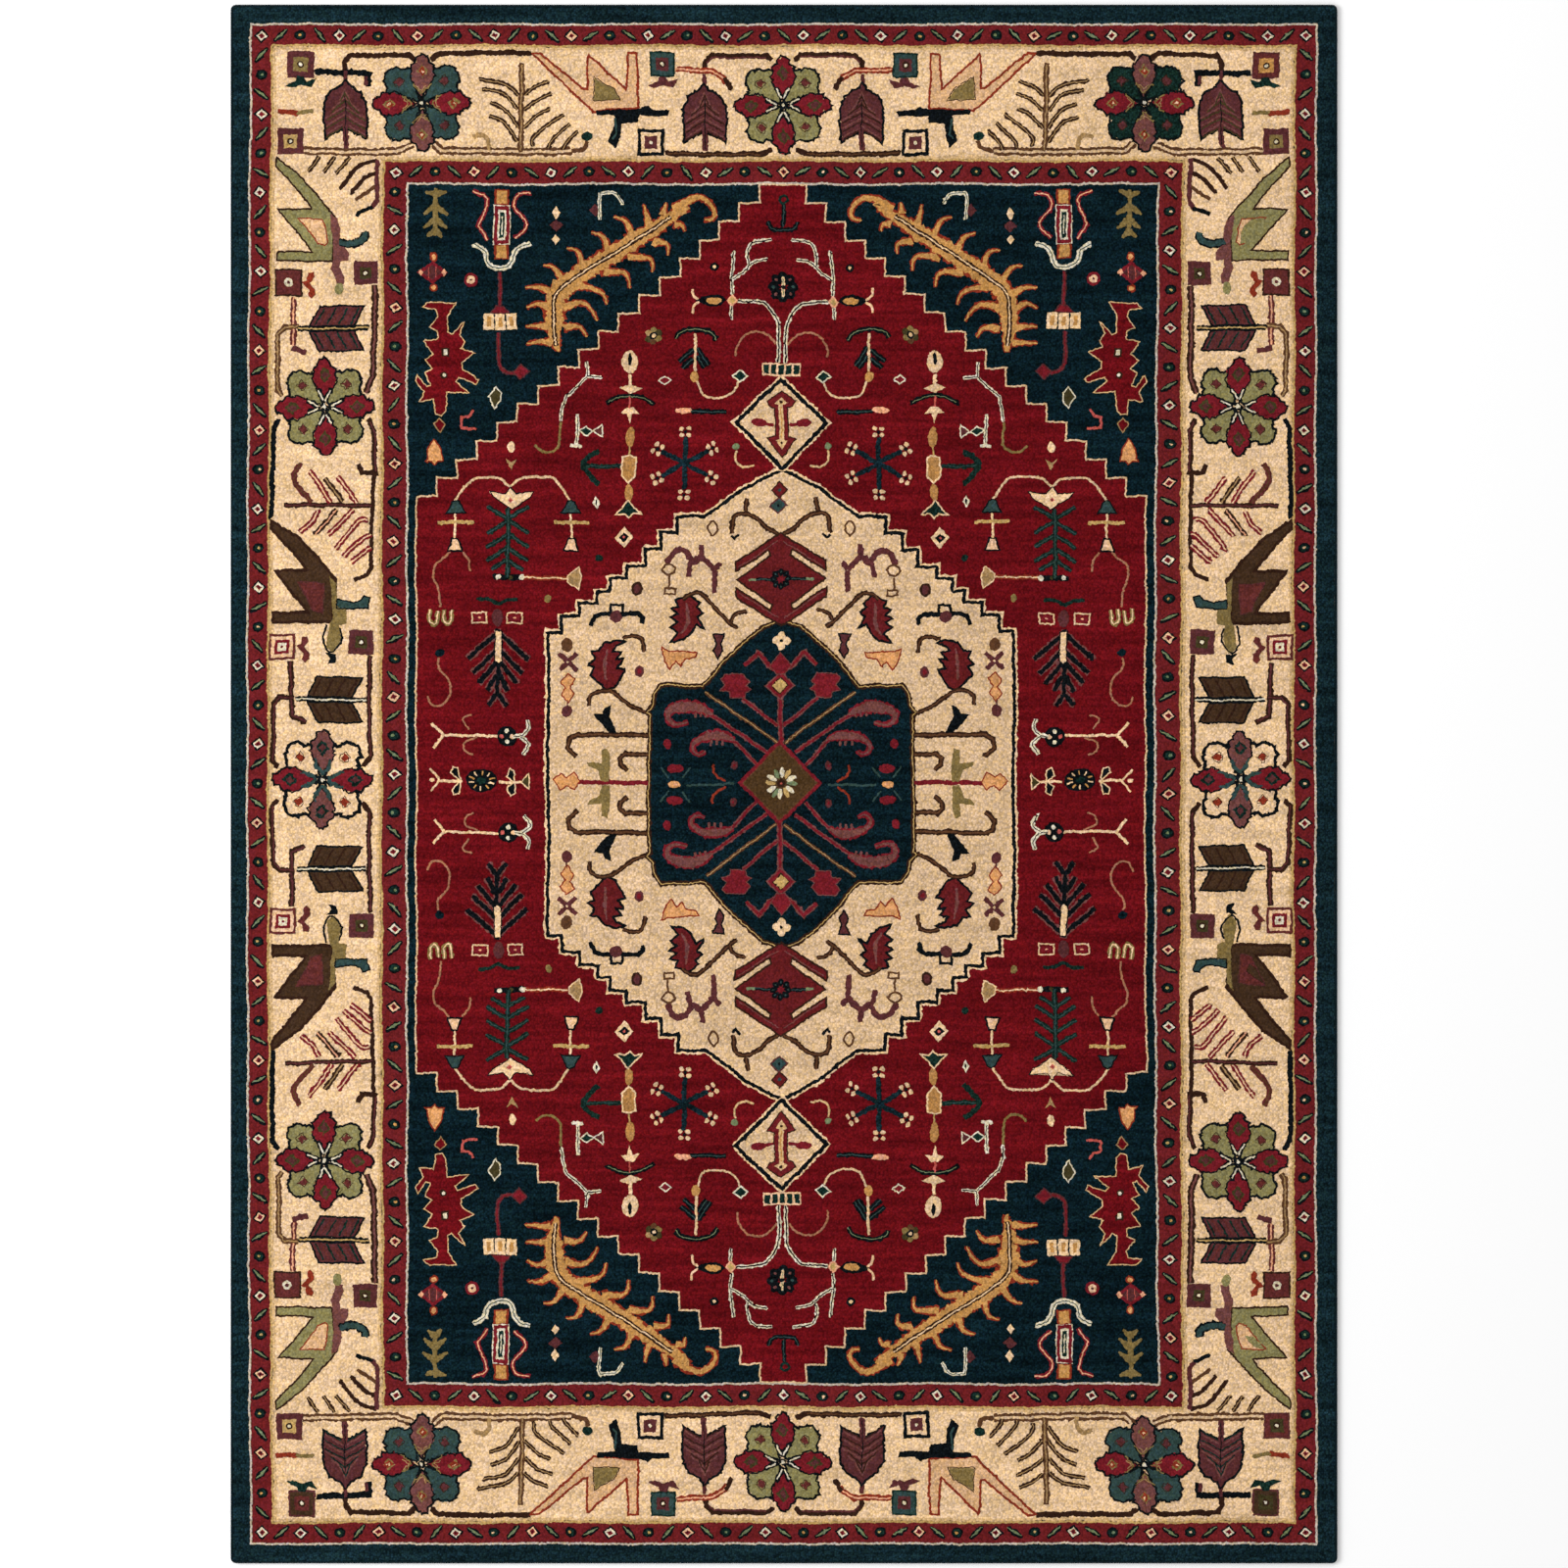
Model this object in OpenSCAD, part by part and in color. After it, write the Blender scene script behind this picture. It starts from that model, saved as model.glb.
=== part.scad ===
// Hand-tufted area rug: a framed field with a stepped central medallion.
// +Z is up, +Y runs along the length, and the origin is the middle of the underside.
// The pattern is drawn for a rug 2400 wide and scales with the width.

/* [Rug] */
// Finished width across the overcast edges, in mm
rug_w = 2400; // [1200:50:3600]
// Radius of the rounded corners
corner_r = 12; // [8:1:20]
// Height of the cut pile above the canvas
pile_h = 9; // [6:0.5:14]

/* [Backing] */
// Thickness of the tufting canvas
canvas_t = 0.8; // [0.6:0.1:1.2]
// Thickness of the latex that locks the tufts
latex_t = 1.6; // [1.2:0.1:2.4]
// Thickness of the cotton backing cloth and of the tape
cloth_t = 1; // [0.6:0.1:1.5]
// Width of the tape that covers the turned edge
tape_w = 32; // [25:1:40]
// Width of the canvas turned under along the edge
hem_w = 24; // [15:1:24]
// Width of the overcast edge
binding_w = 6; // [4:0.5:7]
// How far the overcast edge lies below the pile
binding_drop = 2; // [1:0.5:4]

/* [Pattern] */
// Width of a one-row yarn line
row_w = 5; // [4:0.5:6]
// Width of the dark outer border
outer_border_w = 43; // [38:1:44]
// Width of the two narrow guard bands
guard_w = 43; // [40:1:44]
// Number of steps on each slanted side of the field
field_steps = 17; // [11:1:19]

/* [Hidden] */
$fn = 24;
design_w = 2400;
design_l = 3380;
size_scale = rug_w / design_w;
rug_l = design_l * size_scale;
rug_half = [rug_w, rug_l] / 2;

// Heights of the layers, from the floor up
hem_z = cloth_t;
canvas_z = cloth_t + latex_t;
pile_z = canvas_z + canvas_t;
rug_h = pile_z + pile_h;

// Half sizes of the bands, from the edge inwards, in design millimetres
edge_half = [design_w, design_l] / 2;
border_in = edge_half - [outer_border_w, outer_border_w];
outer_line_in = border_in - [row_w, row_w];
outer_guard_in = outer_line_in - [guard_w, guard_w];
edge_row_w = 7;
main_out = outer_guard_in - [edge_row_w, edge_row_w];
main_band = [230, 240];
main_in = main_out - main_band;
inner_guard_out = main_in - [edge_row_w, edge_row_w];
inner_guard_in = inner_guard_out - [guard_w + 3, guard_w + 3];
field_out = inner_guard_in - [row_w, row_w];

// One quadrant of each closed outline, from the +Y axis round to the +X axis
field_top_w = 50;
field_side_gap = 15;
field_side_l = 625;
step_w = (field_out.x - field_side_gap - field_top_w) / field_steps;
step_l = (field_out.y - field_side_l) / field_steps;
field_quadrant = [for (i = [0 : field_steps - 1]) each [
    [field_top_w + i * step_w, field_out.y - i * step_l],
    [field_top_w + i * step_w, field_out.y - (i + 1) * step_l]],
    [field_out.x - field_side_gap, field_side_l]];
medallion_quadrant = [
    [0, 683], [80, 645], [130, 605], [170, 579], [230, 579], [230, 544], [268, 544], [268, 508],
    [302, 508], [302, 472], [343, 472], [343, 446], [378, 446], [378, 418], [405, 418],
    [405, 393], [444, 393], [444, 365], [482, 365], [482, 330], [512, 330]];
centre_quadrant = [
    [0, 355], [85, 305], [130, 263], [160, 225], [170, 213], [273, 214], [283, 193],
    [287, 170], [300, 153], [293, 150]];
pendant_y = 783;
pendant_size = [100, 95];
diamond_r = 95;

// Places of the border motifs in one quadrant
rosette_corner = [783, 1472];
rosette_side = [989, 816];
rosette_top = [0, 1470];
rosette_mid = [990, 0];
leaf_up = [[949, 1462], [172, 1455]];
leaf_out = [[970, 987], [970, 183]];
bird_pitch = 783;
squares = [
    [1044, 1558, 58], [1068, 1392, 56], [902, 1107, 51], [1070, 1080, 58],
    [263, 1559, 54], [289, 1392, 56], [1073, 296, 52], [910, 307, 50]];
square_border = 9;
guard_pitch = 41;

// ---------- outlines and lines ----------

function flip_x(p) = [for (q = p) [-q.x, q.y]];
function flip_y(p) = [for (q = p) [q.x, -q.y]];
function reversed(p) = [for (i = [len(p) - 1 : -1 : 0]) p[i]];
function on_axis(p) = p[0].x == 0 ? [for (i = [1 : len(p) - 1]) p[i]] : p;

// A closed outline from one quadrant that is mirrored across both axes
function around(q) = let (r = on_axis(q), top = p_top(q)) concat(
    top, r, flip_y(reversed(r)), flip_y(top), flip_x(flip_y(r)), flip_x(reversed(r)));
function p_top(q) = q[0].x == 0 ? [q[0]] : [];

// A quadrant moved outwards, so that its steps stay one row wide
function grown(q, w) = [for (p = q) p.x == 0 ? [0, p.y + 1.25 * w] : p + [w, w]];

function unit(v) = v / norm(v);
function side(v) = [-v.y, v.x];

// Direction across a line at one of its points, lengthened at a corner
function across(p, i) =
    let (n = len(p) - 1,
         before = side(unit(p[max(i, 1)] - p[max(i, 1) - 1])),
         after = side(unit(p[min(i, n - 1) + 1] - p[min(i, n - 1)])),
         middle = unit(before + after))
    middle / max(0.6, middle * before);

// A flat line of constant width along points
module line(points, w)
    polygon(concat(
        [for (i = [0 : len(points) - 1]) points[i] + across(points, i) * w / 2],
        [for (i = [len(points) - 1 : -1 : 0]) points[i] - across(points, i) * w / 2]));

module at_both_ends() for (b = [0, 1]) mirror([0, b, 0]) children();
module at_both_sides() for (a = [0, 1]) mirror([a, 0, 0]) children();
module in_quarters() at_both_sides() at_both_ends() children();
module four_ways() for (a = [0 : 90 : 270]) rotate(a) children();

// A rectangle and a rectangular ring about the origin, given by half sizes
module panel(half) square(2 * half, center = true);
module band(outer, inner) difference() {
    panel(outer);
    panel(inner);
}

// The rug's outline with round corners, drawn in from the edge by inset
module rug_outline(inset) {
    half = rug_half - [inset, inset];
    r = corner_r - inset;
    if (r > 0) {
        panel(half - [r, 0]);
        panel(half - [0, r]);
        in_quarters() translate(half - [r, r]) circle(r, $fn = 48);
    } else {
        panel(half);
    }
}

// One flat layer of the backing
module layer(z, t) translate([0, 0, z]) linear_extrude(t) children();

// Cut pile tufted in one yarn, from a flat pattern
module pile() translate([0, 0, pile_z]) linear_extrude(pile_h) scale(size_scale) children();

// ---------- guard bands ----------

// Stations spread along a side of length 2 * reach, in units of four motifs
function station_count(reach) = 4 * round(2 * reach / guard_pitch / 4);
function station(reach, i) = -reach + 2 * reach * (i + 0.5) / station_count(reach);

// Puts a motif of one kind at its stations on all four sides of a guard band.
// kinds: 0 and 2 are the slanted bars, 1 the discs, 3 the rings.
module guard_stations(half, kind) {
    at_both_ends() for (i = [kind : 4 : station_count(half.x - 12) - 1])
        translate([station(half.x - 12, i), half.y]) children();
    at_both_sides() for (i = [kind : 4 : station_count(half.y - 12) - 1])
        translate([half.x, station(half.y - 12, i)]) rotate(90) children();
}
module guard_bars(half) {
    guard_stations(half, 0) rotate(35) panel([13, 3]);
    guard_stations(half, 2) rotate(-35) panel([13, 3]);
}
module guard_discs(half) guard_stations(half, 1) circle(9);
module guard_rings(half) {
    guard_stations(half, 3) rotate(45) panel([8, 8]);
    in_quarters() translate(half) rotate(45) panel([9, 9]);
}
outer_guard_mid = (outer_line_in + outer_guard_in) / 2;
inner_guard_mid = (inner_guard_out + inner_guard_in) / 2;
module guard_motifs(half) {
    guard_bars(half);
    guard_discs(half);
    guard_rings(half);
}

// ---------- main border ----------

module rosette_places() {
    in_quarters() {
        translate(rosette_corner) children();
        translate(rosette_side) children();
    }
    at_both_ends() translate(rosette_top) children();
    at_both_sides() translate(rosette_mid) children();
}
module axis_petals() four_ways()
    polygon([[0, 12], [26, 48], [26, 76], [14, 98], [0, 105], [-14, 98], [-26, 76], [-26, 48]]);
module diagonal_petals() four_ways()
    polygon([[12, 12], [32, 44], [34, 78], [78, 78], [78, 34], [44, 32]]);
module rosettes() rosette_places() {
    axis_petals();
    diagonal_petals();
}

module leaf_shape() {
    polygon([[0, 64], [47, 20], [46, -66], [5, -44], [5, -80], [-5, -80], [-5, -44],
        [-46, -66], [-47, 20]]);
}
module leaves() in_quarters() {
    for (p = leaf_up) translate(p) leaf_shape();
    for (p = leaf_out) translate(p) rotate(-90) leaf_shape();
}

module side_bird() polygon([
    [1094, 1358], [1043, 1315], [985, 1250], [966, 1225], [972, 1136], [1094, 1136],
    [1094, 1153], [1014, 1154], [1091, 1246], [1015, 1247], [1022, 1258], [1094, 1336]]);
module end_bird() polygon([
    [547, 1585], [530, 1585], [436, 1508], [425, 1580], [340, 1503], [337, 1582],
    [319, 1582], [318, 1465], [414, 1458]]);
module birds() in_quarters() {
    side_bird();
    translate([0, -bird_pitch]) side_bird();
    end_bird();
}

module square_hearts() in_quarters() for (s = squares)
    translate([s[0], s[1]]) panel([s[2], s[2]] / 2 - [square_border, square_border]);
module square_frames() in_quarters() for (s = squares) translate([s[0], s[1]])
    band([s[2], s[2]] / 2, [s[2], s[2]] / 2 - [square_border, square_border]);
module square_fills() in_quarters() for (s = squares)
    translate([s[0], s[1]]) panel([s[2], s[2]] / 2);

vine_w = 9;
vine_lines = [
    [[950, 1530], [943, 1577], [806, 1580]],
    [[1030, 1368], [830, 1368], [800, 1376]],
    [[762, 1390], [745, 1368], [590, 1368]],
    [[550, 1368], [450, 1368], [428, 1384], [424, 1406]],
    [[172, 1524], [168, 1566], [155, 1580], [20, 1578]],
    [[255, 1367], [20, 1364]],
    [[1010, 1542], [956, 1542]],
    [[942, 1542], [898, 1542], [900, 1512]],
    [[884, 1077], [881, 858], [912, 842]],
    [[1058, 1046], [1058, 958], [1028, 938]],
    [[1060, 992], [1080, 990], [1096, 972], [1094, 836]],
    [[1096, 800], [1099, 580]],
    [[896, 790], [884, 760], [884, 460], [922, 442]],
    [[1059, 268], [1059, 145], [1028, 132]],
    [[1064, 186], [1085, 186], [1098, 168], [1100, 16], [1092, 10]],
    [[890, 278], [890, 14]]];
module vines() in_quarters() difference() {
    for (points = vine_lines) line(points, vine_w);
    translate(rosette_corner) rosette_room();
    translate(rosette_side) rosette_room();
    translate(rosette_top) rosette_room();
    translate(rosette_mid) rosette_room();
}
// The ground that a vine keeps clear round a rosette
rosette_room_r = 106;
module rosette_room() {
    panel([28, rosette_room_r]);
    panel([rosette_room_r, 28]);
    panel([79, 79]);
}

spray_w = 8;
spray_lines = [
    [[570, 1565], [570, 1370]],
    [[578, 1420], [492, 1464]],
    [[578, 1462], [503, 1498]],
    [[578, 1493], [510, 1525]],
    [[562, 1420], [648, 1464]],
    [[562, 1462], [637, 1498]],
    [[562, 1493], [630, 1525]],
    [[545, 1378], [538, 1405], [478, 1452]],
    [[508, 1378], [463, 1433]],
    [[1074, 603], [892, 603]],
    [[1015, 610], [1052, 655], [1052, 675], [1043, 695]],
    [[973, 610], [1018, 678]],
    [[945, 610], [986, 663]],
    [[915, 610], [960, 665]],
    [[1000, 596], [1015, 565], [1040, 545]],
    [[959, 596], [1005, 540]],
    [[925, 596], [978, 537]],
    [[1005, 1360], [1029, 1328]],
    [[972, 1360], [996, 1326]],
    [[940, 1358], [970, 1325]],
    [[880, 1355], [880, 1262], [900, 1245], [925, 1236]],
    [[888, 1350], [915, 1345], [960, 1290]],
    [[888, 1320], [905, 1318], [938, 1280]],
    [[888, 1296], [925, 1268]]];
module sprays() in_quarters() for (points = spray_lines) line(points, spray_w);

module main_border_motifs() {
    rosettes();
    leaves();
    birds();
    square_fills();
    vines();
    sprays();
}

// ---------- spandrels ----------

feather_axis = [[488, 950], [496, 1030], [485, 1070], [440, 1105], [235, 1235]];
feather_barb_w = 9;
feather_barbs = [
    [[285, 1205], [262, 1262]],
    [[325, 1180], [304, 1246]],
    [[395, 1135], [374, 1220]],
    [[440, 1110], [426, 1190]],
    [[470, 1085], [480, 1158]],
    [[480, 1070], [526, 1120]],
    [[485, 1060], [553, 1072]],
    [[490, 1030], [557, 1034]],
    [[490, 985], [558, 992]],
    [[250, 1225], [212, 1194]],
    [[285, 1205], [252, 1155]],
    [[335, 1170], [288, 1116]],
    [[380, 1145], [336, 1085]],
    [[440, 1105], [388, 1045]],
    [[470, 1075], [416, 1013]],
    [[490, 1020], [426, 977]],
    [[250, 1230], [205, 1262], [170, 1268], [152, 1252], [162, 1226]]];
module feather() {
    line(feather_axis, 38);
    for (points = feather_barbs) line(points, feather_barb_w);
}

module serrated_leaf() polygon([
    [784, 1032], [773, 1043], [712, 1043], [730, 1015], [732, 980], [722, 974], [694, 1002],
    [703, 946], [672, 936], [700, 915], [664, 878], [706, 883], [682, 848], [730, 852],
    [741, 801], [759, 835], [789, 829], [780, 851], [799, 873], [765, 865], [778, 893],
    [763, 901], [780, 920], [762, 932], [782, 959], [752, 965], [770, 989], [751, 1015],
    [755, 1028]]);

module lantern() {
    translate([613, 1268]) panel([12, 16]);
    translate([613, 1211]) band([17, 40], [8, 30]);
    translate([613, 1155]) panel([12, 15]);
    line([[613, 1110], [613, 1030]], 9);
    for (x = [585, 615, 645]) translate([x, 1002]) panel([11, 18]);
    line([[673, 1284], [648, 1270], [662, 1205], [645, 1183]], 7);
    line([[552, 1282], [585, 1262], [562, 1200], [580, 1184]], 7);
    line([[672, 1172], [645, 1150], [625, 1115], [600, 1115], [580, 1150], [552, 1170]], 7);
}

module small_plant() {
    line([[756, 1288], [756, 1185]], 7);
    for (y = [1268, 1235, 1200]) {
        line([[758, y - 12], [782, y]], 6);
        line([[754, y - 12], [730, y]], 6);
    }
}
module spandrel_motifs() in_quarters() {
    feather();
    serrated_leaf();
    lantern();
    small_plant();
}

// The dark ground on one side of the field: between the field and the inner guard band
module spandrel_ground() intersection() {
    difference() {
        panel(field_out);
        polygon(around(grown(field_quadrant, row_w)));
    }
    translate([field_out.x / 2, 0]) panel([field_out.x / 2, field_out.y]);
}

// ---------- field ----------

module candelabrum() {
    line([[0, 905], [0, 1005]], 16);
    at_both_sides() {
        line([[6, 1005], [40, 1038], [98, 1046]], 10);
        translate([110, 1047]) panel([13, 11]);
        line([[110, 1060], [110, 1158]], 10);
        line([[110, 1034], [110, 1006]], 10);
        line([[104, 1095], [75, 1118], [30, 1136]], 9);
        line([[122, 1047], [172, 1045]], 6);
        line([[8, 945], [35, 970], [75, 975], [102, 940]], 7);
    }
    translate([0, 897]) panel([44, 9]);
}
module flowers() {
    in_quarters() {
        translate([280, 973]) circle(19);
        translate([257, 876]) circle(10);
        translate([403, 612]) circle(14);
        translate([535, 727]) circle(12);
        line([[189, 970], [189, 905]], 10);
        line([[227, 972], [189, 985], [148, 965]], 7);
        line([[184, 912], [222, 920]], 8);
        line([[194, 912], [156, 920]], 8);
        line([[187, 880], [165, 838], [105, 848], [91, 880]], 7);
    }
    at_both_ends() {
        translate([0, 1075]) circle(25);
        line([[0, 1260], [0, 1205]], 9);
        line([[-27, 1215], [0, 1201], [27, 1215]], 8);
    }
}
module totem() {
    translate([334, 916]) panel([17, 26]);
    line([[334, 886], [334, 828]], 8);
    line([[310, 857], [330, 857]], 8);
    line([[338, 857], [358, 857]], 8);
    line([[387, 827], [334, 820], [283, 827]], 7);
    line([[334, 813], [334, 782]], 10);
    translate([334, 754]) panel([10, 21]);
    translate([334, 685]) panel([12, 27]);
    translate([334, 634]) panel([9, 15]);
    polygon([[336, 616], [366, 584], [306, 584]]);
    line([[350, 690], [432, 690]], 7);
    line([[395, 723], [436, 690], [398, 650]], 8);
}
module star() {
    for (a = [-62, 0, 62]) rotate(a) panel([4.5, 66]);
    for (a = [-62, 0, 62, 118, 180, 242]) rotate(a) translate([0, 72]) rotate(45) panel([8, 8]);
}
module fern() {
    line([[600, 600], [600, 440]], 10);
    for (y = [590, 560, 530, 500, 470]) {
        line([[603, y - 22], [640, y]], 8);
        line([[597, y - 22], [560, y]], 8);
    }
}
module arch() {
    line([[715, 610], [690, 650], [660, 664], [505, 663], [485, 645], [463, 610]], 8);
    for (x = [714, 463]) {
        translate([x, 598]) panel([21, 10]);
        line([[x, 585], [x, 530]], 8);
        translate([x, 517]) panel([14, 10]);
    }
    line([[726, 503], [755, 475], [757, 450], [746, 385]], 6);
    line([[695, 500], [680, 462]], 6);
    line([[635, 630], [590, 617], [545, 627]], 9);
    line([[580, 448], [470, 448]], 12);
}
module spider() {
    translate([622, 298]) panel([11, 33]);
    for (a = [-1, 1]) {
        line([[622 + a * 11, 315], [622 + a * 66, 268]], 8);
        line([[622 + a * 11, 290], [622 + a * 60, 238]], 8);
        line([[622 + a * 11, 268], [622 + a * 44, 212]], 8);
        translate([622 + a * 40, 359]) band([14, 12], [8, 6]);
    }
    line([[622, 264], [622, 165]], 10);
    line([[690, 398], [622, 388], [555, 398]], 8);
    line([[748, 260], [728, 200], [752, 168], [770, 178]], 7);
}
module twigs() {
    at_both_sides() {
        line([[620, 105], [745, 105]], 7);
        line([[745, 105], [770, 130]], 7);
        line([[620, -105], [745, -105]], 7);
        line([[745, -105], [770, -130]], 7);
        translate([660, 0]) panel([25, 20]);
        line([[685, 0], [770, 0]], 7);
        line([[635, 0], [552, 0]], 7);
    }
}
module star_places() in_quarters() translate([215, 695]) children();
module field_motifs() {
    at_both_ends() candelabrum();
    flowers();
    in_quarters() {
        totem();
        fern();
        arch();
        spider();
    }
    star_places() star();
    twigs();
}

// ---------- medallion ----------

module leaf_sprig() {
    polygon([[210, 405], [190, 398], [177, 372], [180, 355], [174, 336], [195, 345], [203, 325],
        [246, 310], [230, 333], [245, 360], [229, 363], [245, 375], [230, 390]]);
    polygon([[393, 305], [348, 304], [378, 280], [358, 283], [375, 265], [373, 252], [350, 250],
        [380, 207], [395, 206], [428, 252], [410, 248], [420, 283]]);
}
module branches() {
    line([[365, 163], [387, 155], [370, 108]], 10);
    line([[300, 106], [450, 106], [468, 85], [448, 60]], 10);
    line([[300, 60], [345, 63], [355, 45], [340, 29]], 10);
    line([[302, 348], [305, 368], [410, 368], [418, 345]], 10);
    line([[250, 475], [240, 498], [220, 504], [203, 490], [178, 480]], 9);
    line([[200, 410], [178, 408], [85, 318]], 6);
    line([[105, 540], [100, 575], [60, 582], [12, 555]], 9);
    polygon([[264, 296], [183, 287], [212, 272], [223, 255], [232, 267], [247, 248], [256, 268]]);
    for (p = [[470, 303, 14], [470, 265, 20], [473, 205, 12], [473, 160, 13], [320, 422, 13],
        [314, 243, 10]])
        translate([p[0], p[1]]) rotate(45) panel([p[2], p[2]] / 1.4);
}
module eye() {
    polygon([[0, 505], [98, 444], [0, 383], [-98, 444]]);
    at_both_sides() {
        line([[100, 472], [35, 518]], 7);
        line([[98, 415], [15, 360]], 7);
    }
}
module centre_line_places() at_both_sides() {
    line([[305, 2], [445, 2]], 7);
    translate([473, 4]) panel([26, 10]);
    line([[386, 75], [386, 10]], 8);
    line([[386, -6], [386, -71]], 8);
}
module medallion_sprigs() in_quarters() leaf_sprig();
module medallion_twigs() {
    in_quarters() branches();
    centre_line_places();
}
module medallion_motifs() {
    medallion_sprigs();
    medallion_twigs();
    at_both_ends() eye();
}

module pendant_outline(extra) {
    half = pendant_size + [extra, extra];
    translate([0, pendant_y]) polygon([[0, half.y], [half.x, 0], [0, -half.y], [-half.x, 0]]);
}

// ---------- centre ----------

module curls() in_quarters() {
    line([[35, 75], [160, 155], [180, 175], [230, 180], [262, 165], [263, 145], [245, 129],
        [208, 133]], 14);
    line([[55, 62], [110, 95], [150, 113], [190, 98], [200, 75], [183, 62]], 10);
    line([[15, 110], [80, 180], [105, 212], [140, 250]], 9);
    translate([252, 88]) panel([8, 10]);
    translate([235, 34]) panel([15, 9]);
}
module centre_motifs() {
    curls();
    rotate(45) panel([diamond_r, diamond_r] / sqrt(2));
    at_both_ends() translate([0, 215]) rotate(45) panel([11, 11]);
}

// ---------- backing and edge ----------

module tape_along(half_length, edge, flip) intersection() {
    polygon([[-half_length, edge], [half_length, edge], [half_length - tape_w, edge - tape_w],
        [tape_w - half_length, edge - tape_w]]);
    children();
}
inner_half = rug_half - [binding_w, binding_w];
module end_tape() color("#d8cdb4") layer(0, cloth_t) tape_along(inner_half.x, inner_half.y)
    rug_outline(binding_w);
module side_tape() color("#d8cdb4") layer(0, cloth_t) intersection() {
    rotate(-90) tape_along(inner_half.y, inner_half.x) panel([rug_l, rug_w]);
    rug_outline(binding_w);
}

module secondary_backing() color("#e4dcc6") layer(0, cloth_t)
    panel(inner_half - [tape_w, tape_w]);
module backing_tape_top() end_tape();
module backing_tape_bottom() mirror([0, 1, 0]) end_tape();
module backing_tape_right() side_tape();
module backing_tape_left() mirror([1, 0, 0]) side_tape();
module canvas_hem() color("#cfc4a6") layer(hem_z, canvas_t) difference() {
    rug_outline(binding_w);
    panel(inner_half - [hem_w, hem_w]);
}
module latex_layer() color("#b9ab86") difference() {
    layer(cloth_t, latex_t) rug_outline(binding_w);
    canvas_hem();
}
module primary_backing() color("#cfc4a6") layer(canvas_z, canvas_t) rug_outline(binding_w);
// The parts of a ring that lie along the top and the right side, mitred at the corners
mitre = 100;
module top_side() intersection() {
    children();
    polygon([[-rug_half.x - 1, rug_half.y + 1], [rug_half.x + 1, rug_half.y + 1],
        [rug_half.x - mitre, rug_half.y - mitre], [mitre - rug_half.x, rug_half.y - mitre]]);
}
module right_side() intersection() {
    children();
    polygon([[rug_half.x + 1, rug_half.y + 1], [rug_half.x + 1, -rug_half.y - 1],
        [rug_half.x - mitre, mitre - rug_half.y], [rug_half.x - mitre, rug_half.y - mitre]]);
}
module overcast_ring() difference() {
    rug_outline(0);
    rug_outline(binding_w);
}
module overcast() layer(0, rug_h - binding_drop) children();
module edge_binding_top() color("#0b1c26") overcast() top_side() overcast_ring();
module edge_binding_bottom() color("#0b1c26") overcast() mirror([0, 1, 0]) top_side()
    overcast_ring();
module edge_binding_left() color("#0b1c26") overcast() mirror([1, 0, 0]) right_side()
    overcast_ring();
module edge_binding_right() color("#0b1c26") overcast() right_side() overcast_ring();

// ---------- pile ----------

module outer_border_ring() difference() {
    rug_outline(binding_w);
    scale(size_scale) panel(border_in);
}
module border_strip() layer(pile_z, pile_h) children();
module outer_border_top() color("#0d2a36") border_strip() top_side() outer_border_ring();
module outer_border_bottom() color("#0d2a36") border_strip() mirror([0, 1, 0]) top_side()
    outer_border_ring();
module outer_border_left() color("#0d2a36") border_strip() mirror([1, 0, 0]) right_side()
    outer_border_ring();
module outer_border_right() color("#0d2a36") border_strip() right_side() outer_border_ring();
module outer_piping() color("#c9c3ad") pile() band(border_in, outer_line_in);
module outer_guard_pile() color("#8e1420") pile() difference() {
    band(outer_line_in, outer_guard_in);
    guard_motifs(outer_guard_mid);
}
module outer_guard_bars() color("#5f7a5a") pile() guard_bars(outer_guard_mid);
module outer_guard_discs() color("#1e3b38") pile() guard_discs(outer_guard_mid);
module outer_guard_rings() color("#dcd0b4") pile() guard_rings(outer_guard_mid);
module main_border_edge_rows() color("#b58a4c") pile() {
    band(outer_guard_in, main_out);
    band(main_in, inner_guard_out);
}
module main_border_pile() color("#e9cfa0") pile() difference() {
    band(main_out, main_in);
    main_border_motifs();
}
module border_rosette_axis_petals() color("#8a2130") pile() rosette_places() axis_petals();
module border_rosette_diagonal_petals() color("#2f4a4e") pile() rosette_places()
    diagonal_petals();
module border_leaves() color("#6a2a33") pile() leaves();
module border_birds() color("#8b8550") pile() birds();
module border_squares() color("#5a2430") pile() square_frames();
module border_square_hearts() color("#d9b07c") pile() square_hearts();
module border_vines() color("#4a2a26") pile() difference() {
    vines();
    leaves();
    birds();
    square_fills();
}
module border_sprays() color("#6b3f2c") pile() difference() {
    sprays();
    vines();
}
module inner_guard_pile() color("#8e1420") pile() difference() {
    band(inner_guard_out, inner_guard_in);
    guard_motifs(inner_guard_mid);
}
module inner_guard_bars() color("#5f7a5a") pile() guard_bars(inner_guard_mid);
module inner_guard_discs() color("#1e3b38") pile() guard_discs(inner_guard_mid);
module inner_guard_rings() color("#dcd0b4") pile() guard_rings(inner_guard_mid);
module inner_piping() color("#c9c3ad") pile() band(inner_guard_in, field_out);

module spandrel_right_pile() color("#0b1f2c") pile() difference() {
    spandrel_ground();
    spandrel_motifs();
}
module spandrel_left_pile() color("#0b1f2c") pile() mirror([1, 0, 0]) difference() {
    spandrel_ground();
    spandrel_motifs();
}
module spandrel_feathers() color("#c98f3c") pile() in_quarters() feather();
module spandrel_leaves() color("#a32630") pile() in_quarters() serrated_leaf();
module spandrel_lanterns() color("#c9603c") pile() in_quarters() lantern();
module spandrel_plants() color("#7c7a4a") pile() in_quarters() small_plant();

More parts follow.
